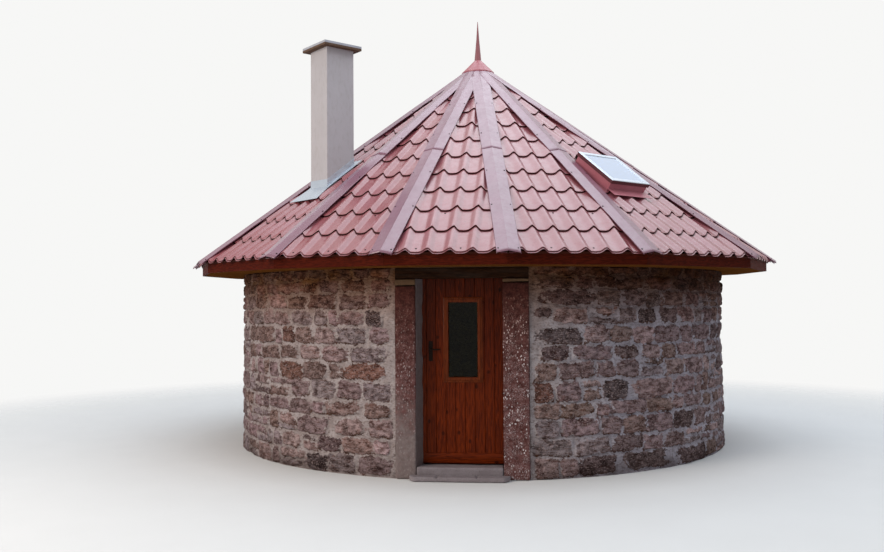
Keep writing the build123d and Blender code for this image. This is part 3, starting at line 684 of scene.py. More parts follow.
lintel_top = 1.983
check_height = 1.925
check_width = 0.006
low = (jambs_left, jamb_front, lintel_bottom)
high = (jambs_right, jamb_back, lintel_top)
points, faces = block(low, high, 0.016)
points = worn(points, low, high, 0.01, 0.006, 0.09, 35)
from_check = points[:, 2] - check_height - 0.01 * np.sin(points[:, 0] * 5)
check = 0.006 * np.exp(-((from_check / check_width) ** 2))
points[:, 1] += check * (points[:, 1] < jamb_front + 0.02)
lintel_material = wood("old oak", (0.013, 0.004, 0.0015), (0.045, 0.017, 0.007), (14, 1, 1), worn_grey=0.15)
add_piece("lintel_beam", by_door(points), faces, lintel_material, "old_timber", "lintel", smooth=60)
coat_nodes(lintel_material, "inner_lintel", soften=0.004)

# Door: nine upright pine boards with eased edges, a weather rail along the foot and a mitred
# moulding each side of the glass, all varnished deep red-brown. It swings into the room.

leaf_left = -0.4525
leaf_right = 0.3825
leaf_outer = -2.68
leaf_inner = -2.635
leaf_bottom = 0.125
leaf_top = 1.89
glass_left = -0.147
glass_right = 0.131
glass_bottom = 0.9425
glass_top = 1.6535
sleeve = 0.011
board_count = 9


def from_net(net):
    """Points and faces of a bmesh, which it frees."""
    net.verts.ensure_lookup_table()
    net.verts.index_update()
    points = np.array([v.co for v in net.verts])
    faces = [[v.index for v in f.verts] for f in net.faces]
    net.free()
    return points, faces


def eased_box(low, high, ease):
    """Box with its edges eased."""
    net = bmesh.new()
    bmesh.ops.create_cube(net, size=1)
    for v in net.verts:
        v.co = [a + (b - a) * (c + 0.5) for a, b, c in zip(low, high, v.co)]
    bmesh.ops.bevel(net, geom=net.edges[:], offset=ease, segments=1, affect="EDGES", profile=0.5)
    return from_net(net)


def grained(points, order, owners):
    """Each board's own grain: its places with the long way first, shifted for each board."""
    shifts = np.random.default_rng(3).uniform(0, 9, (owners.max() + 1, 3))
    return np.asarray(points)[:, order] + shifts[owners]


def give_grain(piece, grain):
    vectors = piece.data.attributes.new("grain", "FLOAT_VECTOR", "POINT")
    vectors.data.foreach_set("vector", grain.ravel())


def add_boards(name, shapes, order, material, slot, node, smooth=40):
    """A piece of the door from several boards, each with its own grain."""
    points, faces, owners = gather(shapes)
    piece = add_piece(name, by_door(points), faces, material, slot, node, body="door", smooth=smooth)
    give_grain(piece, grained(points, order, owners))


door_wood = wood(
    "varnished pine", (0.034, 0.0034, 0.0004), (0.11, 0.0135, 0.0013), (16, 1, 1), 0.8, True, 0.1,
    painted_eave_shade=1.0, Coat_Weight=0.06, Coat_Roughness=0.15,
)
boards = []
board_width = (leaf_right - leaf_left) / board_count
board_gap = 0.0012
cut_left = glass_left - sleeve
cut_right = glass_right + sleeve
cut_bottom = glass_bottom - sleeve
cut_top = glass_top + sleeve
for number in range(board_count):
    x0 = leaf_left + number * board_width + board_gap / 2
    x1 = x0 + board_width - board_gap
    if x1 < cut_left or x0 > cut_right:
        spans = [(x0, x1, leaf_bottom, leaf_top)]
    else:
        spans = [(x0, x1, leaf_bottom, cut_bottom), (x0, x1, cut_top, leaf_top)]
        if x0 < cut_left:
            spans.append((x0, cut_left, cut_bottom, cut_top))
        if x1 > cut_right:
            spans.append((cut_right, x1, cut_bottom, cut_top))
    for a, b, z0, z1 in spans:
        boards.append(eased_box((a, leaf_outer, z0), (b, leaf_inner, z1), 0.0035))
upright = [2, 0, 1]
add_boards("door_boards", boards, upright, door_wood, "door_wood", "door_leaf")

rail_low = 0.13
rail_high = 0.228
rail_profile = [
    (leaf_outer, rail_low),
    (leaf_outer - 0.007, rail_low),
    (leaf_outer - 0.01, rail_low + 0.004),
    (leaf_outer - 0.01, rail_high - 0.02),
    (leaf_outer - 0.008, rail_high - 0.008),
    (leaf_outer - 0.003, rail_high - 0.001),
    (leaf_outer, rail_high),
]
rail_left = -0.4375
rail_right = 0.3675
sides = len(rail_profile)
points = [(x, y, z) for x in (rail_left, rail_right) for y, z in rail_profile]
faces = [[sides + i, sides + (i + 1) % sides, (i + 1) % sides, i] for i in range(sides)]
faces += [list(range(sides)), list(range(sides, 2 * sides))[::-1]]
lengthwise = [0, 2, 1]
add_boards("door_foot_rail", [(points, faces)], lengthwise, door_wood, "door_wood", "door_rail")


def mitred_frame(x0, x1, z0, z1, profile):
    """Frame round an opening from a closed profile of (outward, depth), mitred at its corners."""
    corners = [(x0, z0, -1, -1), (x1, z0, 1, -1), (x1, z1, 1, 1), (x0, z1, -1, 1)]
    count = len(profile)
    points = [(x + sx * out, y, z + sz * out) for x, z, sx, sz in corners for out, y in profile]
    faces = []
    for side in range(4):
        for i in range(count):
            a = side * count
            b = (side + 1) % 4 * count
            j = (i + 1) % count
            faces.append([a + i, b + i, b + j, a + j])
    return points, faces


moulding = [
    (0.0, leaf_outer - 0.008),
    (0.003, leaf_outer - 0.0125),
    (0.01, leaf_outer - 0.014),
    (0.028, leaf_outer - 0.014),
    (0.031, leaf_outer - 0.01),
    (0.044, leaf_outer - 0.008),
    (0.05, leaf_outer - 0.004),
    (0.05, leaf_outer),
    (sleeve, leaf_outer),
    (sleeve, leaf_inner),
    (0.05, leaf_inner),
    (0.05, leaf_inner + 0.008),
    (0.042, leaf_inner + 0.014),
    (0.006, leaf_inner + 0.014),
    (0.0, leaf_inner + 0.008),
]
moulding_wood = wood(
    "varnished moulding", (0.062, 0.0095, 0.0013), (0.15, 0.027, 0.0045), (12, 1, 1), 0.0, True, 0.1,
    Coat_Weight=0.1, Coat_Roughness=0.15,
)
shapes = [mitred_frame(glass_left, glass_right, glass_bottom, glass_top, moulding)]
add_boards(
    "door_window_moulding", shapes, upright, moulding_wood, "moulding_wood", "door_window_frame", smooth=25
)


def pane_finish(name, tint, clear=1.0, **settings):
    f = Finish(name, Transmission_Weight=clear, Base_Color=tint, Specular_IOR_Level=0.5, **settings)
    f.join(f.spread(f.noise(0.12), 0.4, 0.7, 0.01, 0.06), f.shader.inputs["Roughness"])
    f.join(f.bump(f.noise(0.3), 0.0006), f.shader.inputs["Normal"])
    return f.material


coat_nodes(pane_finish("old door glass", (0.3, 0.24, 0.07), IOR=1.19), "door_glass", soften=0.001)

# Door furniture: a black iron lever on a long plate on each side of the leaf, and three steel
# butt hinges, their knuckles behind the right-hand edge.

handle_x = leaf_left + 0.135
handle_z = threshold_top + 1.095
plate_half_width = 0.019
plate_thickness = 0.004
plate_below = 0.114
plate_above = 0.076
lever_reach = 0.042
lever_length = 0.105
keyhole_drop = 0.075


def tube(path, radii):
    """Round bar along a path, with its ends closed."""
    path = np.asarray(path, float)
    sides = 12
    points = []
    for i, place in enumerate(path):
        ahead = path[min(i + 1, len(path) - 1)] - path[max(i - 1, 0)]
        ahead /= np.linalg.norm(ahead)
        side = np.cross(ahead, (0.13, 0.31, 0.94))
        side /= np.linalg.norm(side)
        over = np.cross(side, ahead)
        for turn in np.linspace(0, 2 * pi, sides, endpoint=False):
            points.append(place + radii[i] * (cos(turn) * side + sin(turn) * over))
    faces = []
    for i in range(len(path) - 1):
        for j in range(sides):
            k = (j + 1) % sides
            faces.append([i * sides + j, (i + 1) * sides + j, (i + 1) * sides + k, i * sides + k])
    faces.append(list(range(sides)))
    faces.append(list(range((len(path) - 1) * sides, len(path) * sides))[::-1])
    return np.array(points), faces


iron_material = mottled(
    "black iron", 0.01, (0.006, 0.003, 0.002), (0.015, 0.007, 0.005), (0.02, 0.35, 0.6),
    relief=((0.006,), 0.0004), Specular_IOR_Level=0.05,
)
furniture = []
lever_thickness = [0.0045, 0.0075, 0.0078, 0.0072, 0.0068, 0.0068, 0.007, 0.007, 0.0045]
for face_y, way in ((leaf_outer, -1), (leaf_inner, 1)):
    plate_y = sorted((face_y, face_y + way * plate_thickness))
    plate_low = (handle_x - plate_half_width, plate_y[0], handle_z - plate_below)
    plate_high = (handle_x + plate_half_width, plate_y[1], handle_z + plate_above)
    furniture.append(eased_box(plate_low, plate_high, 0.0015))
    reach = face_y + way * lever_reach
    neck = [(handle_x, face_y, handle_z), (handle_x, reach - way * 0.008, handle_z)]
    furniture.append(tube(neck, [0.011, 0.008]))
    steps = np.linspace(0, 1, len(lever_thickness))
    lever = [(handle_x - 0.008 + lever_length * t, reach, handle_z - 0.003 * sin(pi * t)) for t in steps]
    furniture.append(tube(lever, lever_thickness))
    keyhole = [(handle_x, y, handle_z - keyhole_drop) for y in (face_y, face_y + way * 0.0052)]
    furniture.append(tube(keyhole, [0.007, 0.006]))
points, faces, owners = gather(furniture)
add_piece(
    "door_lever_set", by_door(points), faces, iron_material, "black_iron", "door_handle",
    body="door", smooth=35,
)
hinge_material = mottled(
    "hinge steel", 0.02, (0.14, 0.13, 0.12), (0.26, 0.25, 0.23), (0.008, 0.25, 0.45),
    relief=((0.004,), 0.0002), Metallic=1.0,
)
coat_nodes(hinge_material, "door_hinges", "frame_hinges", soften=0.0006)

# Door frame: planed pine posts and a head, oiled light orange and fixed in the wall behind the
# jambs. The leaf hangs between the posts.

frame_wood = wood("oiled pine", (0.16, 0.055, 0.02), (0.36, 0.15, 0.06), (1, 1, 14), 0.6)
coat_nodes(frame_wood, "door_frame", soften=0.002)

# Roof timbers and deck: sawn spruce rafters from the wall plate to a hub under the peak, with
# boards over them. They show from inside, through the open door.

sawn_spruce = wood("sawn spruce", (0.24, 0.14, 0.07), (0.46, 0.32, 0.18), (5, 5, 1), 0.5)
coat_nodes(sawn_spruce, "wall_plate", "rafters", "rafter_hub", soften=0.002)
deck_wood = wood("spruce deck", (0.2, 0.12, 0.06), (0.36, 0.25, 0.14), (5, 5, 1), 0.5, stained_ends=3.2)
coat_nodes(deck_wood, "roof_boards", soften=0.002)

# Eave boards: a stained fascia mitred at each hip, and varnished soffit boards that run out from
# the wall to it, nailed up one by one with a narrow gap.

first_hip_azimuth = -59.2
shown_face_angles = [23.9, 20.7, 18.8, 22.5, 28.0]
roof_sides = 16
hip_radius = 3.46
eave_height = 2.11
roof_rise = 2.54
fascia_hip_radius = 3.385
fascia_thickness = 0.025
soffit_low = 1.985
soffit_high = 2.003
hidden_count = roof_sides - len(shown_face_angles)
face_angles = shown_face_angles + [(360 - sum(shown_face_angles)) / hidden_count] * hidden_count
hip_azimuths = [first_hip_azimuth + sum(face_angles[:i]) for i in range(roof_sides + 1)]
hip_azimuths = [radians(a) for a in hip_azimuths]

fascia_wood = wood("red-brown stain", (0.035, 0.004, 0.0015), (0.095, 0.011, 0.004), (9, 9, 1))
coat_nodes(fascia_wood, "fascia_boards", soften=0.0025)


def clipped(outline, normal, limit):
    """The part of a plan outline where its distance along a normal is over a limit."""
    kept = []
    for a, b in zip(outline, outline[1:] + outline[:1]):
        da = a[0] * normal[0] + a[1] * normal[1] - limit
        db = b[0] * normal[0] + b[1] * normal[1] - limit
        if da > 0:
            kept.append(a)
        if da * db < 0:
            share = da / (da - db)
            kept.append((a[0] + share * (b[0] - a[0]), a[1] + share * (b[1] - a[1])))
    return kept


def prism(outline, z0, z1):
    """Upright prism over a plan outline that runs counterclockwise."""
    n = len(outline)
    points = [(x, y, z) for z in (z0, z1) for x, y in outline]
    faces = [[i, (i + 1) % n, n + (i + 1) % n, n + i] for i in range(n)]
    return points, faces + [list(range(n))[::-1], list(range(n, 2 * n))]


soffit_boards = []
soffit_grain = []
soffit_pitch = 0.096
soffit_gap = 0.002
for start, end in zip(hip_azimuths, hip_azimuths[1:]):
    middle = start + (end - start) / 2
    out = np.array([sin(middle), -cos(middle)])
    along = np.array([cos(middle), sin(middle)])
    outer = fascia_hip_radius * cos((end - start) / 2) - fascia_thickness - 0.001
    half = fascia_hip_radius * sin((end - start) / 2)
    for k in range(-8, 8):
        x0 = k * soffit_pitch + soffit_gap / 2
        x1 = x0 + soffit_pitch - soffit_gap
        nearest = 0 if x0 < 0 < x1 else min(abs(x0), abs(x1))
        if nearest > half:
            continue
        inner = ((wall_radius + soffit_gap) ** 2 - nearest**2) ** 0.5
        corners = [(outer, x1), (outer, x0), (inner, x0), (inner, x1)]
        outline = [tuple(reach * out + x * along) for reach, x in corners]
        outline = clipped(outline, (cos(start), sin(start)), soffit_gap)
        outline = clipped(outline, (-cos(end), -sin(end)), soffit_gap) if outline else []
        if len(outline) > 2:
            points, faces = prism(outline, soffit_low, soffit_high)
            soffit_boards.append((points, faces))
            flat = np.asarray(points)
            grain = np.c_[flat[:, :2] @ out, flat[:, :2] @ along, flat[:, 2]]
            soffit_grain.append(grain + 0.7 * len(soffit_boards))
soffit_wood = wood(
    "varnished soffit", (0.08, 0.027, 0.006), (0.2, 0.072, 0.017), (14, 1, 1), 0.7, True, 0.1,
    Specular_IOR_Level=0.0,
)
points, faces, owners = gather(soffit_boards)
soffit = add_piece("soffit_strips", points, faces, soffit_wood, "soffit_varnish", "soffit_boards")
give_grain(soffit, np.vstack(soffit_grain))

# Tile sheets: steel sheet pressed into rolls and pans and stepped at each course, coated oxide red.
# They lie on each roof face from the eave to the collar, cut along the hips under the caps and
# round the chimney and the roof window. Each course hangs a scalloped lip over the one below.

roll_pitch = 0.2
course = 0.362
step_height = 0.015
roll_height = 0.026
# one wave of the sheet, from its crest to the right: steep side, flat pan, gentle side, crest
wave_places = [0, 0.006, 0.014, 0.024, 0.036, 0.047, 0.055, 0.062, 0.09, 0.118, 0.135, 0.155, 0.175, 0.19]
wave_heights = [1, 0.985, 0.9, 0.66, 0.34, 0.1, 0.015, 0.05, 0.02, 0.05, 0.13, 0.42, 0.78, 0.95]
# the middle of the pan, where the lip of a course hangs lowest
pan_middle = 0.087
# where a crest stands from the middle of each shown face's eave
crest_shifts = {0: -0.02, 1: -0.075, 2: 0.048, 3: 0.054, 4: 0.063}
sheet_gauge = 0.0015
tile_nodes = {
    "roof_tiles_left": [13, 14, 15, 0],
    "roof_tiles_front": [1, 2, 3],
    "roof_tiles_right": [4, 5, 6, 7],
    "roof_tiles_back": [8, 9, 10, 11, 12],
}
# rectangles cut out for the chimney and the roof window, as x0, x1, y0, y1 in the face's frame
face_holes = {0: (-0.2446, 0.1285, 1.284, 1.783), 4: (-0.3894, 0.1766, 1.132, 1.69)}
# rows of the hem folded under at the eave: how far up the slope from the lip, how far down, painted shade and
# grime
hem_rows = [(-0.016, 0.013, 0.15), (-0.0165, 0.0105, 0.0), (0.006, 0.009, 0.9)]
# rows of a course: the share of its length, how far its edge is rounded down, painted shade and grime
course_rows = [(0, 0.0035, 0.9), (0.008, 0.0006, 0), (0.03, 0, 0), (0.5, 0, 0)]
course_rows += [(0.925, 0, 0), (0.965, 0, 0.75), (1, 0, 1)]
# where a lip starts up the slope and how far its waves reach, at the eave and above it
eave_lip = (0.018, 0.03)
course_lip = (0.004, 0.05)
course_lap = 0.003
hip_gap = 0.007
collar_reach = 0.13
last_lip_clear = 0.16


class RoofFace:
    """Frame of a roof face on its crests: x along the eave, y up the slope, z out."""

    def __init__(self, number):
        self.start = hip_azimuths[number]
        self.end = hip_azimuths[number + 1]
        left = around(hip_radius, self.start, eave_height)
        right = around(hip_radius, self.end, eave_height)
        self.middle = (left + right) / 2
        self.width = np.linalg.norm(right - left)
        rise = np.array([0, 0, eave_height + roof_rise]) - self.middle
        self.slant = np.linalg.norm(rise)
        x = (right - left) / self.width
        y = rise / self.slant
        self.axes = np.array([x, y, np.cross(x, y)])
        self.lean = atan(self.width / 2 / self.slant)

    def place(self, points):
        return self.middle + np.asarray(points, float) @ self.axes


roof_faces = [RoofFace(i) for i in range(roof_sides)]


def across_hip(azimuth):
    """Level direction square to the upright plane through a hip, towards greater azimuths."""
    return np.array([cos(azimuth), sin(azimuth), 0])


def trim(net, place, normal):
    """Cuts off what lies ahead of a plane."""
    geometry = net.verts[:] + net.edges[:] + net.faces[:]
    bmesh.ops.bisect_plane(net, geom=geometry, plane_co=place, plane_no=normal, clear_outer=True)


def trim_between(net, start, end, gap):
    """Cuts a net off at a gap inside the upright planes through two hips."""
    a = across_hip(start)
    b = across_hip(end)
    trim(net, a * gap, -a)
    trim(net, -b * gap, b)


def cut_hole(net, face, x0, x1, y0, y1):
    """Cuts a rectangle out of the net of a roof face."""
    for place, axis in (((x0, 0, 0), 0), ((x1, 0, 0), 0), ((0, y0, 0), 1), ((0, y1, 0), 1)):
        geometry = net.verts[:] + net.edges[:] + net.faces[:]
        bmesh.ops.bisect_plane(net, geom=geometry, plane_co=face.place(place), plane_no=face.axes[axis])
    inside = []
    for f in net.faces:
        x, y, z = face.axes @ (np.array(f.calc_center_median()) - face.middle)
        if x0 < x < x1 and y0 < y < y1:
            inside.append(f)
    bmesh.ops.delete(net, geom=inside, context="FACES")


def make_net(points, faces, shade_and_grime):
    """A mesh to cut, with the painted shade and grime at each point."""
    net = bmesh.new()
    layer = net.verts.layers.float.new("shade_and_grime")
    for point, value in zip(points, shade_and_grime):
        net.verts.new(point)[layer] = value
    net.verts.ensure_lookup_table()
    for face in faces:
        net.faces.new([net.verts[i] for i in face])
    return net


def tile_sheet(number):
    """Trimmed sheet of one face, with painted shade and grime in its steps."""
    face = roof_faces[number]
    shift = crest_shifts.get(number, 0)
    first = int(-face.width / 2 / roll_pitch) - 1
    rolls = range(first, -first + 1)
    spots = np.array([k * roll_pitch + place + shift for k in rolls for place in wave_places])
    roll = np.array(wave_heights * len(rolls))
    height = -roll_height * (1 - roll)
    places = np.array(wave_places)
    halves = np.where(places < pan_middle, pan_middle, roll_pitch - pan_middle)
    hang = np.tile(((places - pan_middle) / halves) ** 2, len(rolls))
    swell = 0.4 * roll**1.4 + 0.6 * hang
    rows = []
    shade_and_grime = []

    def lip(k):
        start, reach = eave_lip if k == 0 else course_lip
        return k * course + start + reach * swell

    def add_row(y, z, shade_and_dirt):
        rows.append(np.stack([spots, y, z], -1))
        shade_and_grime.append(shade_and_dirt)

    for back, drop, shade_and_dirt in hem_rows:
        add_row(lip(0) + back, height - drop, shade_and_dirt)
    for k in range(int((face.slant - last_lip_clear) / course) + 1):
        for share, rounded, shade_and_dirt in course_rows:
            y = lip(k) + (lip(k + 1) + course_lap - lip(k)) * share
            add_row(y, height - step_height * share - rounded, shade_and_dirt)
    faces = grid_faces(len(rows), len(spots))
    net = make_net(face.place(np.vstack(rows)), faces, np.repeat(shade_and_grime, len(spots)))
    trim_between(net, face.start, face.end, hip_gap)
    outward = np.array([face.middle[0], face.middle[1], 0])
    outward /= np.linalg.norm(outward)
    trim(net, outward * collar_reach, -outward)
    if number in face_holes:
        cut_hole(net, face, *face_holes[number])
    layer = net.verts.layers.float["shade_and_grime"]
    shade_and_grime = [v[layer] for v in net.verts]
    return (*from_net(net), shade_and_grime)


def coated_sheet(name, red, pale, dark, shade_and_grime=False, gloss=0.6):
    """Oxide-red coated steel: a hard satin gloss over a slightly uneven, dusty colour."""
    f = Finish(name, Coat_Weight=gloss, Coat_Roughness=0.22, Coat_IOR=1.7, Specular_IOR_Level=0.3)
    colour = f.mix(f.spread(f.noise(0.35), 0.3, 0.7), red, pale)
    colour = f.mix(f.spread(f.noise(0.02, detail=5.0), 0.5, 0.75, 0.0, 0.35), colour, dark)
    # painted shadow with some grime: each lip's riser and the pan just below it are darkened and lose their
    # gloss, as in the lip's shadow
    if shade_and_grime:
        colour = f.mix(f.spread(f.attribute("shade_and_grime"), 0.1, 0.9, 0.0, 0.95), colour, (0.035, 0.006, 0.005))
        share = f.spread(f.attribute("shade_and_grime"), 0.1, 0.6, gloss, 0.05)
        f.join(share, f.shader.inputs["Coat Weight"])
    dust = f.spread(f.noise(0.05), 0.4, 0.7, 0.38, 0.54)
    return f.finish(colour, dust, f.bump(f.noise(0.16), 0.002))


def give_gauge(sheets):
    """Gives pressed or folded sheets their thickness, inwards from their faces."""
    gauge = sheets.modifiers.new("gauge", "SOLIDIFY")
    gauge.thickness = sheet_gauge
    gauge.offset = -1


tile_material = coated_sheet(
    "red tile sheet", (0.24, 0.055, 0.062), (0.275, 0.082, 0.098), (0.15, 0.035, 0.04), shade_and_grime=True
)
for node, numbers in tile_nodes.items():
    shapes = [tile_sheet(i) for i in numbers]
    points, faces, owners = gather([(p, f) for p, f, v in shapes])
    name = node.replace("roof_tiles", "tile_sheets")
    sheets = add_piece(name, points, faces, tile_material, "red_sheet_tiles", node, smooth=50)
    set_values(sheets, "shade_and_grime", np.concatenate([v for p, f, v in shapes]))
    give_gauge(sheets)

# Hip caps: sheet folded along its middle over each hip, in two lengths, the upper lapped over the
# lower. Near the top the flange of each cap lies on its neighbour's. Screws with dark washers hold
# them, and the tile sheets, to the boards.

cap_flange = 0.108
cap_overhang = 0.038
cap_lower_length = 2.05
cap_lap = 0.12
cap_end_radius = 0.15
hip_length = (hip_radius**2 + roof_rise**2) ** 0.5
screw_places = [0.03, 0.783, 1.459, 2.307, 3.09]
# across from the fold, and over the tiles' crests, where the fold stands highest
cap_section = [(0.108, -0.008), (0.1075, 0.002), (0.104, 0.005), (0.055, 0.009), (0.012, 0.013)]
cap_section.append((0.003, 0.015))
fold_height = 0.016
upper_lift = 0.0022
# near the top the caps are pressed flatter, and each left flange lies on its neighbour
crowding_start = 3.2
crowding_run = 0.4


def on_flange(face, side, along, across, height):
    """Point on a cap's flange: along the hip from the eave, across from the fold, and up."""
    x = face.width / 2 - along * sin(face.lean) - across * cos(face.lean)
    y = along * cos(face.lean) - across * sin(face.lean)
    return face.place((side * x, y, 0)) + np.array([0, 0, height])


def hip_cap(number, start, end, lift):
    """One length of folded cap, from its left flange to its right one."""
    left = roof_faces[number - 1]
    right = roof_faces[number]

    def cap_row(along):
        ripple = 0.0016 * sin(along * 2 * pi / 0.37 + number)
        crowded = np.clip((along - crowding_start) / crowding_run, 0, 1)
        flat = 1 - 0.6 * crowded
        lap = 0.006 * crowded

        def flange(face, side, bend, raised):
            """Points from a flange's edge to the fold."""
            row = []
            for across, height in cap_section:
                wave = bend * (across / cap_flange) ** 2
                row.append(on_flange(face, side, along, across, height * flat + lift + wave + raised))
            return row

        fold = on_flange(right, -1, along, 0.0, fold_height * flat + lift + lap / 2)
        return flange(left, 1, ripple, lap) + [fold] + flange(right, -1, -ripple, 0)[::-1]

    rows = [cap_row(along) for along in np.linspace(start, end, int((end - start) / 0.05) + 1)]
    points = np.array(rows).reshape(-1, 3)
    net = make_net(points, grid_faces(len(rows), len(rows[0])), [0] * len(points))
    before = hip_azimuths[number - 1] if number else hip_azimuths[-2] - 2 * pi
    trim_between(net, before, hip_azimuths[number + 1], 0.002)
    return from_net(net)


# painted reflection: the caps' colour is bluer than the tile sheets', for the lilac sheen of the sky on them
cap_material = coated_sheet(
    "red cap sheet", (0.165, 0.058, 0.092), (0.195, 0.075, 0.115), (0.12, 0.042, 0.065)
)
caps = []
cap_end = hip_length * (1 - cap_end_radius / hip_radius)
for i in range(roof_sides):
    caps.append(hip_cap(i, -cap_overhang, cap_lower_length, 0.0))
    caps.append(hip_cap(i, cap_lower_length - cap_lap, cap_end, upper_lift))
points, faces, owners = gather(caps)
folded = add_piece("folded_hip_caps", points, faces, cap_material, "red_caps", "hip_caps", smooth=25)
give_gauge(folded)


def screw(place, up, radius=0.009, height=0.006):
    """Six-sided screw head and washer."""
    up = up / np.linalg.norm(up)
    side = np.cross(up, (0.2, 0.9, 0.1))
    side /= np.linalg.norm(side)
    over = np.cross(up, side)
    rings = [(1.25, 0), (1.2, 0.3), (0.75, 0.42), (0.7, 0.95), (0.5, 1)]
    points = []
    for wide, high in rings:
        for turn in range(6):
            ray = cos(turn * pi / 3) * side + sin(turn * pi / 3) * over
            points.append(place + up * height * high + radius * wide * ray)
    faces = []
    for i in range(len(rings) - 1):
        for j in range(6):
            k = (j + 1) % 6
            faces.append([i * 6 + j, i * 6 + k, (i + 1) * 6 + k, (i + 1) * 6 + j])
    faces += [list(range(6))[::-1], list(range(len(points) - 6, len(points)))]
    return np.array(points), faces


# across from the fold, and over the tiles' crests
cap_screw_across = 0.088
cap_screw_height = 0.0035
# place in the pitch, places up the slope, and room kept to the hips
tile_screw_across = 0.09
tile_screw_rows = (0.075, 2 * course - 0.035)
tile_screw_room = 0.15
screws = []
for i in range(roof_sides):
    for along in screw_places:
        lift = cap_screw_height + (upper_lift if along > cap_lower_length - cap_lap else 0)
        for face, side in ((roof_faces[i - 1], 1), (roof_faces[i], -1)):
            screws.append(screw(on_flange(face, side, along, cap_screw_across, lift), face.axes[2]))
# tile screws stand in every second pan, near the eave and near the head of the second course
for i, face in enumerate(roof_faces):
    shift = crest_shifts.get(i, 0)
    for k in range(-4, 4):
        for row, y in enumerate(tile_screw_rows):
            x = shift + tile_screw_across + (2 * k + row) * roll_pitch
            if abs(x) < face.width / 2 * (1 - y / face.slant) - tile_screw_room:
                depth = -roll_height - step_height * ((y - 0.01) % course) / course
                screws.append(screw(face.place((x, y, depth)), face.axes[2], 0.0085, 0.005))
screw_material = mottled(
    "screw heads", 0.03, (0.012, 0.005, 0.006), (0.035, 0.014, 0.016), (0.01, 0.35, 0.55),
    Specular_IOR_Level=0.15,
)
points, faces, owners = gather(screws)
add_piece("roof_screws", points, faces, screw_material, "red_caps", smooth=30)

# Ridge collar and finial: a sixteen-sided hood of the same sheet over the tops of the caps, and a
# slender spike folded from it.

collar_material = coated_sheet(
    "red collar sheet", (0.3, 0.06, 0.075), (0.35, 0.08, 0.1), (0.2, 0.04, 0.05), gloss=0.25
)
finial_material = coated_sheet("wine red spike", (0.19, 0.04, 0.05), (0.25, 0.06, 0.07), (0.12, 0.028, 0.033))
coat_nodes(collar_material, "ridge_collar", soften=0.003)
coat_nodes(finial_material, "finial", soften=0.0015)

# Chimney: a square shaft with smooth lime render, a cast slab on top with the flue through it, its
# lower half stained brown, and a skirt of grey sheet round its foot.


def slab_finish():
    f = Finish("cast slab")
    colour = f.mix(f.noise(0.08), (0.34, 0.34, 0.37), (0.48, 0.48, 0.52))
    low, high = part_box("chimney_cap")
    middle = (low.z + high.z) / 2
    stain = f.mix(f.noise(0.03), (0.08, 0.045, 0.03), (0.14, 0.085, 0.055))
    colour = f.mix(f.spread(f.along(2), middle + 0.003, middle - 0.003), colour, stain)
    return f.finish(colour, 0.9, f.bump(f.noise(0.015), 0.002))


render_material = mottled(
    "lime render", 0.3, (0.425, 0.395, 0.4), (0.51, 0.475, 0.485), 0.92,
    relief=((0.012, (1, 1, 1), 5.0), 0.0015),
    specks=((0.03, (1, 1, 2.5)), 0.5, 0.75, 0.4, (0.36, 0.32, 0.3)),
)
skirt_material = mottled(
    "grey sheet", 0.08, (0.43, 0.475, 0.54), (0.54, 0.585, 0.65), (0.05, 0.32, 0.5),
    relief=((0.06,), 0.002), Metallic=0.75,
)
coat_nodes(render_material, "chimney_shaft", soften=0.006)
coat_nodes(slab_finish(), "chimney_cap", soften=0.005)
coat_nodes(skirt_material, "chimney_flashing", soften=0.001)

# Roof window: a kerb of red sheet with an apron on the tiles, a red sash under a bright metal rim,
# a double pane, and the covers of its two hinges along the top.

window_face = roof_faces[4]
pane_left = -0.3504
pane_right = 0.1376
pane_low = 1.171
pane_high = 1.651
sash_section = [
    (0.0, 0.065),
    (0.0, 0.103),
    (0.004, 0.1085),
    (0.02, 0.11),
    (0.046, 0.109),
    (0.052, 0.104),
    (0.052, 0.094),
    (0.049, 0.092),
    (0.049, 0.065),
]
points, faces = mitred_frame(pane_left, pane_right, pane_low, pane_high, sash_section)
points = window_face.place(np.asarray(points)[:, [0, 2, 1]])
faces = [face[::-1] for face in faces]
rim_material = mottled(
    "bright rim", 0.05, (0.4, 0.43, 0.47), (0.5, 0.53, 0.58), (0.02, 0.4, 0.55),
    relief=((0.05,), 0.0005), Metallic=0.9,
)
sash = add_piece("skylight_rim", points, faces, rim_material, "skylight_rim", "skylight_sash", smooth=30)
sash_red = coated_sheet(
    "dark red sash", (0.075, 0.009, 0.014), (0.1, 0.014, 0.02), (0.05, 0.007, 0.01), gloss=0.2
)
sash.data.materials.append(sash_red)
# the rim is bright metal on its top and inner side, and red on its outer side and underneath
red_sides = (5, 6, 7, 8)
for number, face in enumerate(sash.data.polygons):
    if number % len(sash_section) in red_sides:
        face.material_index = 1
kerb_red = coated_sheet(
    "red kerb sheet", (0.39, 0.108, 0.134), (0.45, 0.145, 0.175), (0.3, 0.08, 0.095), gloss=0.3
)
coat_nodes(kerb_red, "skylight_frame", soften=0.002)
coat_nodes(iron_material, "skylight_hinges", soften=0.003)
roof_glass = pane_finish("roof window glass", (0.55, 0.68, 0.9), 0.3, Coat_Weight=1.0, Coat_IOR=1.75)
coat_nodes(roof_glass, "skylight_glass", soften=0.001)

# Studio: a pale floor, a broad cool light overhead, a smaller warm one from the left and a pale
# surround, seen from where the photograph was taken.

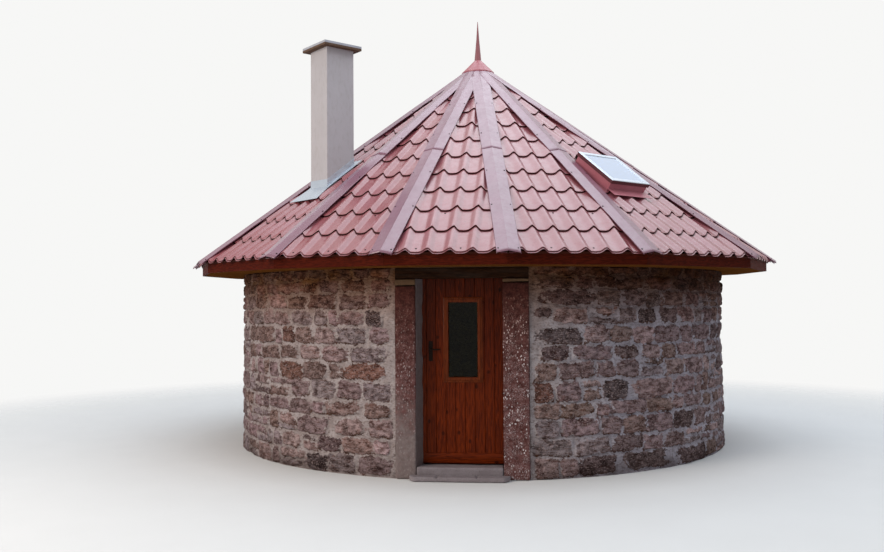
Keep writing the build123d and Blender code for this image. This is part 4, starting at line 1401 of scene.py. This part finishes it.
floor_mesh = bpy.data.meshes.new("floor")
floor_radius = 14
fade_start = 3.6
fade_end = 9.5
outline = [(floor_radius * cos(t * pi / 32), floor_radius * sin(t * pi / 32)) for t in range(64)]
points, faces = prism(outline, -0.05, -0.0005)
floor_mesh.from_pydata(points, [], faces)
floor = bpy.data.objects.new("floor", floor_mesh)
bpy.context.scene.collection.objects.link(floor)
plain = Finish("pale floor")
floor_colour = plain.mix(plain.noise(0.5), (0.78, 0.77, 0.75), (0.82, 0.81, 0.79))
floor_mesh.materials.append(plain.finish(floor_colour, 0.95))
# far from the hut the floor gives way to the surround
far = plain.spread(plain.from_axis(), fade_start, fade_end)
clear = plain.node("BsdfTransparent", 0, {})
faded = plain.node("MixShader", 0, {0: far, 1: plain.shader.outputs[0], 2: clear})
plain.join(faded, plain.tree.nodes["Material Output"].inputs["Surface"])


def soft_light(name, place, aim, size, power, colour):
    lamp = bpy.data.lights.new(name, "AREA")
    lamp.shape = "DISK"
    lamp.size = size
    lamp.energy = power
    lamp.color = colour
    light = bpy.data.objects.new(name, lamp)
    bpy.context.scene.collection.objects.link(light)
    place = np.array(place, float)
    back = place - np.array(aim, float)
    light.matrix_world = facing(place, -back / np.linalg.norm(back))


def facing(place, ahead):
    """Matrix of a lamp at a place that shines ahead."""
    side = np.cross(ahead, (0.001, 0.002, 1))
    side /= np.linalg.norm(side)
    up = np.cross(side, ahead)
    turned = np.eye(4)
    turned[:3, 0] = side
    turned[:3, 1] = up
    turned[:3, 2] = -ahead
    turned[:3, 3] = place
    return Matrix(turned.tolist())


soft_light("overhead", (1.5, -0.5, 11), (0, 0, 0), 14, 1130, (0.84, 0.91, 1.0))
soft_light("left key", (-8, -8.5, 5.5), (0, 0, 1.2), 6, 600, (1.0, 0.89, 0.78))

world = bpy.data.worlds.new("surround")
bpy.context.scene.world = world
world.use_nodes = True
nodes = world.node_tree.nodes
links = world.node_tree.links
surround = nodes["Background"]
surround.inputs["Color"].default_value = (0.84, 0.91, 1.0, 1)
surround.inputs["Strength"].default_value = 0.5
seen = nodes.new("ShaderNodeBackground")
seen.inputs["Color"].default_value = (0.93, 0.93, 0.92, 1)
# the background and what glass and sheet mirror is paler than what lights the hut
ray = nodes.new("ShaderNodeLightPath")
share = ray.outputs["Is Camera Ray"]
for kind in ("Is Glossy Ray", "Is Transmission Ray"):
    either = nodes.new("ShaderNodeMath")
    either.operation = "MAXIMUM"
    links.new(share, either.inputs[0])
    links.new(ray.outputs[kind], either.inputs[1])
    share = either.outputs[0]
chosen = nodes.new("ShaderNodeMixShader")
links.new(share, chosen.inputs[0])
links.new(surround.outputs[0], chosen.inputs[1])
links.new(seen.outputs[0], chosen.inputs[2])
links.new(chosen.outputs[0], nodes["World Output"].inputs["Surface"])
bpy.context.scene.view_settings.view_transform = "Standard"

# the photograph's width, and the focal length that it was taken with, in its pixels
photo_width = 884
photo_focal_length = 900
eye_place = (0, -11.256, 1.664)
eye_turn = 2.393
eye_lift = 1.615
eye_roll = 0.381
lens = bpy.data.cameras.new("camera")
lens.sensor_width = 36
lens.lens = photo_focal_length / photo_width * 36
camera = bpy.data.objects.new("camera", lens)
bpy.context.scene.collection.objects.link(camera)
turned = Matrix.Rotation(radians(eye_turn), 3, "Z") @ Matrix.Rotation(radians(eye_lift), 3, "X")
turned = turned @ Matrix.Rotation(radians(eye_roll), 3, "Y") @ Matrix.Rotation(radians(90), 3, "X")
camera.matrix_world = Matrix.Translation(eye_place) @ turned.to_4x4()
bpy.context.scene.camera = camera
